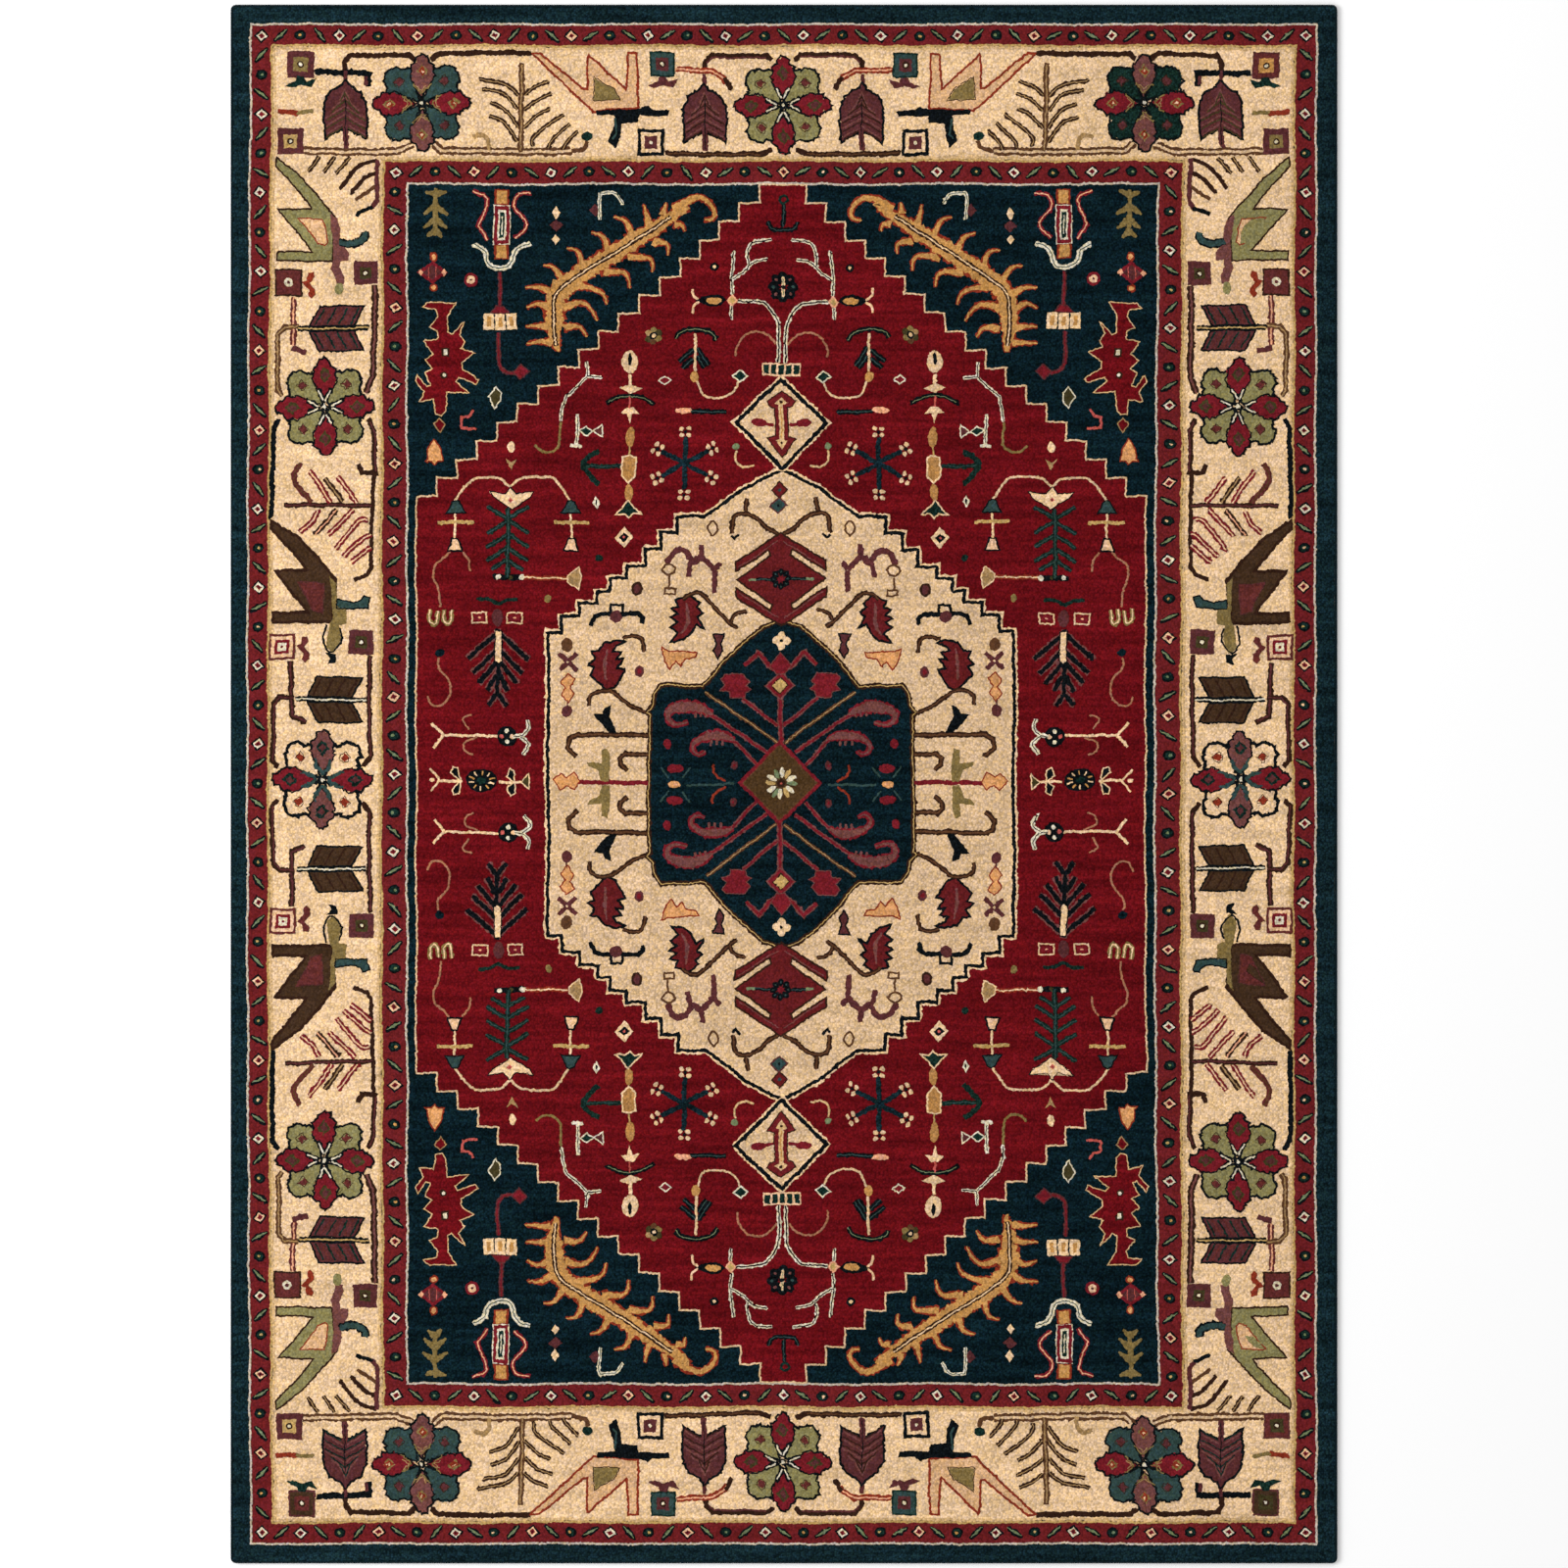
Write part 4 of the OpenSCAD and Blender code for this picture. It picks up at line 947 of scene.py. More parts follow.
def spandrel_sprigs(k):
    """The small plants, diamonds and dots between the larger figures."""
    k.line("olive", [0.7, 1.1, 0.8], -75.7, 128.8, -75.6, 118.8)
    for y, reach, drop in ((127.6, 2.3, -0.7), (125.2, 2.7, 1.9), (122.4, 2.5, 2.1),
                           (120, 1.6, 1.6)):
        for side in (-1, 1):
            k.line("olive", [1.5, 1.1, 0.5], -75.6, y, -75.6 + side * reach, y - drop)
    nested(k.diamond, -76.1, 110.8, ("red", 3.3, 2.5), ("maroon", 2.4, 1.8))
    for side in (-1, 1):
        k.diamond("pink", -76.1 + 2.5 * side, 110.8, 0.75, 0.8)
        k.line("rose", 0.3, -76.1 + 0.8 * side, 109.6, -76.1 + 0.8 * side, 112)
    nested(k.dot, -75.9, 114.2, ("rust", 0.85, 1.05), ("orange", 0.6, 0.8))
    nested(k.dot, -76, 107.5, ("rust", 0.95, 0.85), ("orange", 0.7, 0.6))
    nested(k.dot, -67.8, 109.3, ("red", 1.5), ("shell", 1), ("maroon", 0.4))
    k.diamond("ivory", -49.6, 123.8, 0.95, 1.4)
    k.diamond("maroon", -49.5, 121.1, 1.5, 1.3)
    k.diamond("ivory", -49.7, 118.1, 0.85, 1.1)
    k.diamond("maroon", -40.9, 124.3, 1.3, 1.4)
    k.double("white", "teal", 0.72, -39.9, 122.2, -40, 127.3, -39.2, 128, -36.4, 127.7, -35, 125.6,
             bend=True)
    k.edged("rust", "orange", -75.9, 74.9, -77.2, 72.6, -77.4, 70.6, -78, 70, -76.6, 70.1,
            -75.9, 69.3, -75.2, 70.1, -74, 70.1, -74.4, 72.8, width=0.35)
    k.edged("white", "moss", -62.6, 86, -64, 84, -63.2, 82.6, -62.7, 81.5, -61.6, 83, -61.5, 84.6,
            width=0.35)
    k.line("rose", 0.55, -67.3, 81.2, -68.3, 79.9, -69.8, 79.6, -69.8, 77.3, -66.6, 77.1)


def draw_spandrels():
    for k in quarters("spandrel"):
        feather(k)
    for k in quarters("spandrel"):
        serrated_leaf(k)
    for k in quarters("spandrel"):
        lantern(k)
        spandrel_sprigs(k)


# ---------- field ----------

def candelabrum(k):
    """Half of the branching plant above the pendant."""
    for width, xy in (
            (0.9, (-0.8, 91.5, -0.8, 98.5, -1.5, 101, -3.5, 103.6, -5, 104.3, -10, 104.6)),
            (0.76, (-10.7, 115.5, -11.2, 109.5, -11.1, 106)),
            (0.76, (-11.2, 103.4, -11.3, 100.7)),
            (0.76, (-11, 109.3, -8.8, 110.6, -7.3, 112.2, -5.8, 113.2, -3.1, 113.6)),
            (0.76, (-7.4, 112.4, -7.6, 114.5, -6.8, 116.8, -4.8, 117.6, -2.3, 117.9))):
        k.double("white", "ink", width, *xy, share=0.58, bend=True)
    k.edged("pink", "straw", -11.2, 105.7, -12.2, 104.6, -11.2, 103.5, -10.2, 104.6, width=0.45)
    k.patch("ink", -12.4, 104.8, -13.6, 105.9, -15.4, 106.1, -17.4, 105.6, -19.2, 104.8, -17.4, 103.9,
            -15.4, 103.4, -13.6, 103.7)
    k.dot("gold", -15.1, 104.7, 1.8, 0.85)
    for side in (1, -1):
        k.line("shell", 0.5, -18.4, 104.7 + 0.2 * side, -19.6, 104.7 + 1.2 * side,
               -19.9, 104.7 + 2.8 * side, bend=True)
    k.line("clay", 0.45, -10, 92.5, -9.8, 94.5, -8.5, 96.8, -6.5, 97.8, -4, 97.8, -2.2, 96.5,
           -1.4, 95.3, bend=True)
    k.block("shell", -2.05, 89.9, 2.1, 1.4)
    for x, half in ((-3.25, 0.72), (-1.6, 0.66), (-0.25, 0.4)):
        k.block("forest", x, 89.9, half, 1.12)


def anchor(k):
    """The ring and hook at the top of the field, and the dark flower under it."""
    k.line("forest", 0.6, -0.6, 126.5, 0.3, 127.4, 1.2, 126.5, 0.3, 125.6, bend=True, loop=True)
    k.double("ink", "teal", 1, 0.3, 125.4, 0.2, 120.5, share=0.35)
    k.double("ink", "teal", 1, -3, 121.9, -2.5, 120.6, -1.5, 120, 0, 119.9, 2.5, 120.3, 3.3, 121.8,
             share=0.35, bend=True)
    for turn in range(8):
        p = k.at(0.1, 107.7, 45 * turn)
        p.order = k.order
        p.patch("ink", 0, 0.6, -0.95, 1.6, -1.15, 2.5, -0.4, 3.4, 0.5, 3.3, 1.2, 2.4, 0.9, 1.5)
        p.dot("mauve" if turn % 2 else "teal", 0, 2.2, 0.42, 0.5)
    k.order += HEART_OVER
    k.line("ivory", 0.75, 0.1, 110, 0.1, 105.5)
    k.line("leafgreen", 0.35, 0.1, 109.6, 0.1, 105.8)
    k.dot("ink", 0.1, 107.7, 0.6)


def arrow_flower(k):
    """The plants and arrows between the candelabrum and the totem."""
    k.double("ink", "leafgreen", 1.15, -23.3, 96.7, -22.3, 98, -19, 98.5, -15.7, 97.9, -14.3, 96.1,
             share=0.28, bend=True)
    for xy in ((-19.3, 94.2, -22.5, 91.5), (-18.6, 94.5, -16, 90.5), (-18.5, 92.8, -16.8, 90),
               (-19.4, 92.2, -21.8, 90)):
        k.double("ink", "teal", 1.25, *xy, share=0.3)
    k.line("cream", 0.6, -19, 97.6, -19, 89.4)
    k.dot("gold", -19.2, 88.2, 0.95, 1.2)
    k.line("cream", 0.45, -18.7, 87.3, -17.8, 84.8, -16.5, 83.8, -13.5, 83.6, -10.6, 84.8, -9.3, 87,
           bend=True)
    k.edged("white", "forest", -9.1, 89.5, -10.7, 88.3, -9.1, 87.1, -7.6, 88.3, width=0.4)
    k.edged("white", "red", -25.8, 88.5, -27.1, 87.6, -25.8, 86.7, -24.5, 87.6, width=0.35)
    k.double("ink", "teal", 1, -20.3, 80.6, -12.2, 80.5)
    k.dot("pink", -21.8, 80.9, 1.9, 0.65)
    k.line("sand", 0.45, -10.1, 72.3, -10.2, 70, -8.6, 68.7, -6.2, 69.2, bend=True)
    k.dot("leafgreen", -10.2, 73.2, 0.75)
    for j, yarn in enumerate(("olive", "tan", "moss", "brown", "olive", "moss")):
        p = k.at(-28.2, 97.3, 60 * j)
        p.order = k.order + 0.5 * j
        p.dot(yarn, 0, 1.1, 0.75, 0.9)
    k.order += HEART_OVER
    nested(k.dot, -28.2, 97.3, ("ink", 0.95), ("cream", 0.55))
    nested(k.dot, -15, 112, ("ink", 0.95), ("ivory", 0.5))


def totem(k):
    """The upright row of small figures in the field."""
    k.dot("cream", -33.4, 91.6, 1.75, 2.4)
    k.dot("ink", -33.4, 92.2, 0.55, 1.5)
    k.line("ivory", 0.7, -33.5, 89, -33.5, 84.8)
    k.patch("cream", -35.9, 86, -33.5, 86.9, -30.9, 85.8, -33.5, 84.8)
    k.line("ink", 1, -38.8, 82.6, -36, 84, -33.5, 84.3, -31, 83.9, -28.4, 82.4, bend=True)
    k.line("leafgreen", 0.3, -38.2, 82.9, -36, 83.9, -33.5, 84.2, -31, 83.8, -28.8, 82.7, bend=True)
    k.line("rose", 0.45, -33.6, 84.2, -33.6, 81.6)
    k.patch("ivory", -34.4, 81.8, -35.6, 80.6, -34.3, 80.4, -33.7, 78.2, -33.1, 80.4, -31.5, 80.2,
            -32.8, 81.8)
    k.dot("ochre", -33.4, 75.3, 0.95, 2.2)
    k.line("straw", 0.35, -33.5, 73.2, -33.6, 71.2)
    k.edged("ivory", "ochre", -34.9, 70.9, -33.5, 71.3, -32.2, 70.9, -32.2, 67, -33.6, 65.4, -35, 67,
            width=0.45)
    k.dot("ochre", -33.6, 63.3, 0.9, 1.9)
    k.edged("ivory", "forest", -33.7, 61.6, -35.3, 59.6, -36.6, 58.5, -34.6, 58.7, -33.6, 57.8,
            -32.6, 58.7, -30.8, 58.5, -32.4, 59.8, width=0.4)
    nested(k.diamond, -34.8, 53.5, ("ivory", 2, 2.4), ("ink", 1.3, 1.2))
    k.dot("rose", -34.8, 53.5, 0.4)


def sprout(k):
    """The small arrow, the twig and the bone between the totem and the stepped edge."""
    k.line("forest", 1, -35.2, 69, -43.2, 69)
    k.line("forest", 1.2, -40, 72.2, -41.8, 71.2, -43.6, 69.2, -41.6, 66.4, -40, 65.2, bend=True)
    k.line("teal", 0.3, -36, 69, -42.8, 69)
    for xy in ((-43, 91.5, -42.7, 88.3, -39.7, 88.2), (-42.8, 88.2, -45, 86.1, -47.4, 84, -48.3, 81,
                                                       -48.5, 78.6)):
        k.line("white", 0.74, *xy)
        k.line("ink", 0.42, *xy)
    k.line("olive", 0.55, -48.6, 78.4, -48.7, 73.6, -50.6, 71.9, -52.4, 72, -53.9, 73.2, bend=True)
    k.line("white", 0.8, -44.8, 80.2, -44.9, 73.6)
    k.line("forest", 0.35, -44.8, 79.6, -44.9, 74)
    k.line("white", 0.7, -46.2, 73.4, -43.7, 73.3)
    k.edged("white", "forest", -44.4, 76.6, -43, 77.6, -41.6, 76.6, -43, 75.6, width=0.35)
    k.edged("white", "maroon", -41.4, 76.6, -39.4, 77.9, -39.5, 75.3, width=0.35)
    k.diamond("white", -40.7, 61.2, 0.85, 1.4)
    k.dot("ink", -40.7, 61.2, 0.35, 0.7)
    k.dot("ivory", -59, 72.9, 0.8, 1.2)
    k.patch("tan", -60.4, 70.4, -59.2, 69.6, -57.8, 70.4, -58.8, 68.8, -59.2, 67.9, -59.6, 68.8)


def star(k):
    """A six-rayed star with a four-dot flower on each ray, about (0, 0)."""
    for turn in (0, 62, 118, 180, 242, 298):
        p = k.at(*k.origin, turn)
        p.order = k.order
        p.line("petrol", [0.8, 1.15, 0.9], 0, 0, 0, 5.8)
        for dx, dy in ((-0.8, 0.7), (0.8, 0.7), (-0.8, -0.7), (0.8, -0.7)):
            p.dot("cream", dx, 6.8 + dy, 0.6, 0.5)
        p.dot("ink", 0, 6.8, 0.4)


def arch(k):
    """The bowed branch with hanging bells, and the fern under it."""
    k.line("cream", 0.5, -71.5, 61.4, -69.2, 64.6, -66.6, 66.3, -62.2, 66.2, -60.6, 65.4, -59.4, 64.4,
           -58.2, 65.4, -56.6, 66.2, -50.8, 66.4, -48.8, 64.8, -46.4, 61.4, bend=True)
    k.edged("ink", "ivory", -64.2, 63.3, -60.6, 62.7, -59.4, 64.3, -58.2, 62.7, -54.4, 63.2,
            -55.2, 61.9, -57.4, 60.6, -59.2, 59.3, -60.9, 60.6, -63.1, 62, width=0.3)
    k.diamond("rose", -59.5, 61.4, 0.75, 0.7)
    k.dot("ink", -59.5, 61.4, 0.25)
    for x, y in ((-71.4, 59.4), (-46.3, 59.4)):
        k.edged("ink", "teal", *moved(x, y, -2.1, -0.6, -1.4, 0.4, -0.8, 1.8, 0, 2.2, 0.8, 1.8,
                                      1.4, 0.4, 2.1, -0.6), width=0.4)
        k.line("ivory", 0.5, x, y - 0.8, x, y - 6.2)
        k.line("straw", 0.75, x - 3.8, y - 2.6, x + 4, y - 2.6)
        k.edged("ink", "shell", *moved(x, y, -1.5, -8.8, -0.6, -6.2, 0.6, -6.2, 1.5, -8.8))
    k.line("clay", 0.45, -72.4, 50.4, -74, 48.6, -75.6, 47.4, -76, 45, -74.8, 42, -74.6, 38.4,
           bend=True)
    k.line("clay", 0.45, -69.7, 50.2, -68.4, 48.4, -68, 46, bend=True)
    for y, reach, drop in ((57.4, 4.5, -2.6), (57, 4.5, 2.8), (54, 4.5, 2.8), (51, 4.5, 2.8),
                           (48.5, 3.4, 2.2)):
        for side in (-1, 1):
            k.double("forest", "teal", 0.95, -60, y, -60 + side * reach, y - drop, share=0.45)
    k.double("forest", "teal", 1, -60, 59.6, -60, 44.6, share=0.45)


def ribbon(k):
    """The twin hooks, the level stem with its bell, and the bent stem under them."""
    for x in (-76, -73):
        k.double("olive", "ivory", 1, x - 0.9, 37.8, x - 0.9, 35.4, x + 0.4, 34.8, x + 0.8, 37.6,
                 share=0.5, bend=True)
    k.line("ink", 1.25, -63, 44.7, -56.5, 44.7)
    for x, yarn in ((-61.9, "white"), (-59.4, "moss")):
        k.dot(yarn, x, 44.7, 0.65, 0.6)
    k.double("rust", "ivory", 0.95, -56.6, 44.7, -47, 44.7, share=0.5)
    k.dot("white", -56.9, 44.7, 0.75, 0.65)
    k.edged("ivory", "tan", -46.9, 45.4, -44.7, 47.2, -44.1, 44.8, -44.5, 42.4, -46.9, 44, width=0.35)
    k.dot("navy", -74.8, 28.3, 1, 0.9)
    k.line("clay", 0.45, -75, 27.2, -75, 25, -73, 22.6, -72.3, 20, -72.9, 18.2, -74.6, 16.9,
           -76.4, 17.1, -77.2, 18.8, bend=True)
    k.dot("olive", -51.2, 40.2, 0.7, 0.9)
    k.dot("forest", -40.3, 49, 0.8)


def spider(k):
    """A dark plant with a pale core, about x = -62, and the two boxes above it."""
    for x in (-66.1, -58.4):
        k.line("cream", 0.35, x - 1.6, 34.8, x + 1.6, 34.8, x + 1.6, 37, x - 1.6, 37, loop=True)
        k.block("red", x, 35.9, 1.1, 0.6)
        k.dot("pink", x, 35.9, 0.45, 0.3)
    k.line("forest", 0.8, -66.5, 39.9, -64, 39.8, -62.1, 39, -60.2, 39.8, -57.6, 39.9, bend=True)
    k.dot("maroon", -62.1, 36, 1.2, 1.9)
    arms = []
    for side in (-1, 1):
        for y, dx, dy in ((32.5, 6.6, -5.5), (29, 5.4, -5), (26.5, 4.1, -4.7), (23.5, 2.2, -3.3),
                          (19.5, 2, -2.5)):
            arms.append((-62.2 + side * 0.3, y, -62.2 + side * dx, y + dy))
    arms.append((-62.2, 33.6, -62.2, 19))
    for yarn, width in (("mauve", 1.5), ("ink", 1.1)):
        for xy in arms:
            k.line(yarn, width, *xy)
    k.edged("ink", "ivory", -62.8, 33.2, -61.4, 33.2, -61.3, 26.6, -62.1, 26, -62.9, 26.6, width=0.35)


def twig_rows(k):
    """The twigs on each side of the middle of the field."""
    y = 10.4
    k.line("ivory", 0.55, -73.4, y, -61.8, y + 0.1)
    k.line("ivory", 0.6, -76.2, y + 2.6, -73.6, y + 0.1, -76, y - 2.6)
    k.line("clay", 0.4, -67.6, y + 4.6, -69.6, y + 3.6, -68.4, y + 1.4, bend=True)
    k.line("clay", 0.4, -66.6, y - 0.4, -69.2, y - 1.6, -69, y - 3.4, -67.4, y - 4.2, bend=True)
    k.dot("ink", -60, y, 2.2)
    for dx, dy, yarn in ((0, 1.15, "white"), (0, -1.15, "white"), (1.15, 0, "shell"),
                         (-1.15, 0, "rose")):
        k.dot(yarn, -60 + dx, y + dy, 0.6)
    k.double("white", "ink", 0.9, -58.6, y, -56.6, y + 0.4, -55.4, y + 2, -55.8, y + 3.8, bend=True)
    k.double("white", "ink", 0.9, -57, y, -55.3, y - 1.6, -56.6, y - 3.8, bend=True)


def middle_rows(k):
    """The arrow, the dark flower and the twig on the rug's middle line."""
    k.dot("ivory", -76.6, 0.7, 0.6, 0.5)
    k.line("ivory", 0.5, -77, 3.2, -74.9, 0.7, -76.8, -1.8)
    k.line("ivory", 0.6, -75, 0.6, -69.8, 0.5)
    for side in (1, -1):
        k.edged("ivory", "ink", -70.2, 0.6, -72.2, 0.6 + 1.8 * side, -71.9, 0.6 + 3 * side,
                -70.8, 0.6 + 2.8 * side, width=0.35)
        k.edged("ivory", "ink", -58.6, 0.6, -60.2, 0.6 + 1.2 * side, -59.4, 0.6 + 3 * side,
                -58.4, 0.6 + 2.4 * side, width=0.35)
    k.dot("ink", -65.7, 0.8, 3.4, 2.5)
    for angle in range(15, 375, 36):
        dx, dy = math.cos(math.radians(angle)), math.sin(math.radians(angle))
        k.line("gold" if angle % 72 == 15 else "ivory", 0.5, -65.7 + 1.7 * dx, 0.8 + 1.2 * dy,
               -65.7 + 2.9 * dx, 0.8 + 2.1 * dy)
    k.dot("forest", -65.7, 0.8, 1.1, 0.8)
    k.line("ivory", 0.55, -62, 0.5, -57.2, 0.5)
    k.edged("ivory", "moss", -57.2, 0.5, -55.2, 2.2, -55.4, -0.9, width=0.35)


def draw_field():
    for k in quarters("field"):
        candelabrum(k)
        arrow_flower(k)
        totem(k)
    for k in quarters("field"):
        sprout(k)
        arch(k)
    for k in quarters("field"):
        ribbon(k)
        spider(k)
        twig_rows(k)
        star(k.at(-21.4, 69.4))
    for k in ends("field"):
        anchor(k)
    for k in sides("field"):
        middle_rows(k)


# ---------- medallion ----------

def draw_medallion_frame():
    """The outlines of the medallion and its pendants, and the pendants' arrows."""
    base = Brush("medallion")
    base.line("ivory", 1.6, *flat(MEDALLION), loop=True)
    base.line("ink", 0.95, *flat(MEDALLION), loop=True)
    mid, half_w, half_h = PENDANT
    for k in ends("medallion", 1):
        tip = (0, mid + half_h, -half_w, mid, 0, mid - half_h - 0.3, half_w, mid)
        k.line("ivory", 1.6, *tip, loop=True)
        k.line("ink", 1.05, *tip, loop=True)
        k.edged("umber", "guard_red", *mirrored(0, 85.3, 3.1, 83.1, 2.5, 82, 1.4, 81.7,
                                                1.4, 75.5, 3.1, 75.1, 0.8, 71.8, 0, 71),
                width=0.32)
        k.patch("sand", *mirrored(0, 84, 1.6, 82.6, 0.6, 82.2, 0.6, 74.9, 1.4, 74.6, 0, 72.5))
        k.line("gold", 0.5, 0, 81.8, 0, 75)
        k.dot("umber", 0, 82.9, 0.5)
        k.dot("umber", 0, 74.1, 0.45)
        for side in (-1, 1):
            k.line("red", 0.7, side * 1.7, 77.9, side * 4, 78.3)
            k.dot("red", side * 5, 78.4, 1.75, 0.85)


def branch(k, width, *xy, share=0.5, bend=True):
    """A brown branch between two rows of umber."""
    k.double("umber", "brown", width, *xy, share=share, bend=bend)


def medallion_vines(k):
    """The branches of the medallion, and the small outlined figures among them."""
    k.line("maroon", 1.35, -25.4, 47.6, -24.2, 49.8, -22.6, 50.6, -21.2, 50.1, -20.3, 48.8, -19.6, 48,
           -18.4, 48.9, -17.4, 48.8, -16.2, 47.7, -14.9, 46.3, bend=True)
    for xy in ((-20.2, 48, -20.7, 44.9), (-17.9, 49, -17.5, 51.8), (-14.9, 46.4, -13.5, 48.1),
               (-14.8, 46.2, -14.9, 41.5)):
        k.line("maroon", 1.2, *xy)
    k.line("brown", 0.5, -26.6, 46.4, -25.1, 47.6, -23.6, 46.4, -25.1, 45.2, bend=True, loop=True)
    k.line("brown", 0.5, -25.1, 45, -25.1, 42.2)
    k.line("brown", 0.45, -25.8, 42.2, -25.8, 41, -23.6, 41, -23.6, 42.2, loop=True)
    branch(k, 1.1, -0.5, 54.3, -3, 55.6, -5, 57.4, -7.5, 58.6, -9.5, 58.6, -10.4, 57.5, -10.7, 54.5)
    branch(k, 1.1, -7.9, 59.2, -7.5, 62, bend=False)
    k.line("ink", 0.6, -11, 54, -10.3, 53.2, -9.2, 54.3)
    k.line("brown", 0.45, -16.2, 55.4, -15.1, 57, -14, 55.4, -15.1, 53.8, bend=True, loop=True)
    nested(k.dot, -32, 42.2, ("umber", 1.25, 1.55), ("maroon", 0.85, 1.15))
    k.line("ink", 1, -41.9, 34.4, -41, 36.4, -39.6, 36.8, -31.6, 36.8, -30.5, 35.9, -30.7, 34.6)
    k.line("ink", 0.6, -37.5, 37, -37.4, 38.8, -35, 38.8, -34.8, 37)
    k.dot("maroon", -36.4, 36.3, 1.4, 1.3)
    branch(k, 0.95, -34.9, 31.4, -33, 31.9, -30.9, 31.4, -30.2, 28.4)
    branch(k, 1, -42.4, 17, -42.2, 19, -40.5, 20, -38, 20, -36, 18.7, -33, 16.5, -30.2, 15.4)
    branch(k, 1, -21.8, 40, -20.4, 41.1, -18.5, 41.4, -17, 40.5, -15.5, 39, -12, 35.5, -9.8, 34)
    branch(k, 0.95, -11.2, 35.2, -10.8, 36.5, -9.5, 37.4, -7.8, 37.6)
    branch(k, 1.15, -29.6, 10.5, -45, 10.6, -46.6, 9.8, -47, 7.8, -45, 6, share=0.55, bend=False)
    branch(k, 1.15, -29.6, 6.3, -34.4, 6.4, -35.6, 5.4, -35.5, 4, -34, 2.9, share=0.55, bend=False)


def medallion_leaves(k):
    """The leaves of the medallion, and the patches and dots among them."""
    k.edged("ink", "garnet", -20.3, 40.7, -18.2, 39.2, -18.9, 38.3, -17.4, 37.1, -18.7, 36.2,
            -17.1, 33.7, -18.9, 34.7, -20, 32.6, -21.6, 31.3, -24.4, 30.7, -22.7, 32.7, -24.4, 34,
            -22.9, 35.2, -24.6, 36, -22.9, 36.8, -24.4, 37.9, -22.7, 38.4, -23.5, 39.8, -21.9, 40.3,
            width=0.6)
    k.line("mauve", [0.5, 1.1, 0.5], -20.9, 39.2, -20.8, 35, -22.2, 32.4, bend=True)
    k.edged("ink", "garnet", -34.2, 30.7, -36.2, 31.1, -38.9, 30.5, -40.2, 28.8, -41.8, 28.6,
            -40.9, 27.1, -42.4, 25.7, -41, 25.3, -42.1, 23.5, -40.4, 22, -38.6, 20.2, -36.7, 21,
            -35.3, 23.2, -34.6, 24.6, -36.3, 24.9, -34.9, 27, -36.7, 26.7, -35.3, 28.4, -37.2, 28.7,
            -36.2, 29.9, width=0.6)
    k.line("mauve", [0.4, 1, 0.6], -38.3, 29.4, -38.9, 26, -38.8, 22.4, bend=True)
    k.edged("rust", "orange", -26.5, 29.5, -25, 28.8, -18.4, 28.6, -19.1, 27.6, -21.2, 27.2,
            -22.2, 25.5, -23.2, 26.6, -24.6, 24.9, -25.6, 26.6, width=0.4)
    nested(k.dot, -31.5, 24.3, ("maroon", 1, 1.25), ("red", 0.55, 0.75))
    k.edged("ink", "maroon", -15.2, 32.5, -12.6, 32.5, -13.4, 30.6, -12.9, 29, -13.8, 27.3, -14.8, 29,
            -14.2, 30.6, width=0.45)
    k.dot("brown", -47.1, 30.2, 1.2, 1.5)
    k.line("maroon", 1, -48.9, 28.4, -45, 24.8)
    k.line("maroon", 1, -45, 28.4, -48.9, 24.8)
    k.dot("cream", -47, 26.6, 0.4)
    k.edged("rust", "orange", -47.1, 24, -48.5, 22.3, -47.5, 20.9, -48.5, 19.6, -47.1, 17.7,
            -45.7, 19.7, -46.6, 21.2, -45.6, 22.9, width=0.35)
    k.dot("maroon", -47.3, 15.9, 1.1, 1.3)
    k.line("maroon", 0.35, -47.2, 18.4, -47.3, 17)
    k.patch("ink", -41.6, 15.1, -39.6, 15.1, -39.2, 16.2, -37.6, 16.9, -38, 14.5, -36.4, 10.8,
            -38, 10.8, -40.4, 13.5)
    k.patch("olive", -39.4, 0.4, -37.8, 0.4, -37.8, 5.6, -38.3, 7.6, -39.6, 7.2, -39.5, 4.4,
            -42.6, 4.6, -42.2, 3.6, -40.4, 3)


def eye(k):
    """The red hexagon above and below the centre, cut by ivory bars round a dark flower."""
    k.edged("umber", "garnet", *mirrored(0, 54.4, -10, 48.2, -10.1, 46.2, -2.6, 50.9, -2.2, 49.6,
                                         -9.9, 44.4, -2, 38.9, -2.4, 37.6, -10.1, 42.6,
                                         -10, 40.6, 0, 34.3))
    for side in (-1, 1):
        k.line("mauve", 0.35, side * 9.4, 47.1, side * 0.6, 52.7)
        k.line("mauve", 0.35, side * 9.4, 41.6, side * 0.6, 36)
        k.line("leafgreen", 0.8, side * 7.3, 44.4, side * 5.5, 44.4)
        k.double("ink", "teal", 0.9, side * 5.6, 44.4, side * 2, 44.4)
    for turn in range(0, 360, 45):
        p = k.at(0, 44.5, turn)
        p.order = k.order
        p.patch("ink", 0, 0.5, -0.65, 1.2, -0.8, 1.9, -0.2, 2.5, 0.3, 2.4, 0.8, 1.8, 0.6, 1.1)
        p.dot("teal", 0, 1.6, 0.28, 0.4)
    k.order += HEART_OVER
    k.dot("red", 0, 44.5, 0.75)
    k.edged("umber", "garnet", -0.5, 65.7, -2.2, 63.9, -0.5, 62.2, 1.2, 63.9, width=0.35)
    k.dot("teal", -0.5, 63.9, 0.55)
    k.edged("maroon", "teal", -0.6, 62.2, -2.4, 60.5, -0.6, 58.8, 1.2, 60.5, width=0.4)
    k.dot("ink", -0.6, 60.5, 0.45)


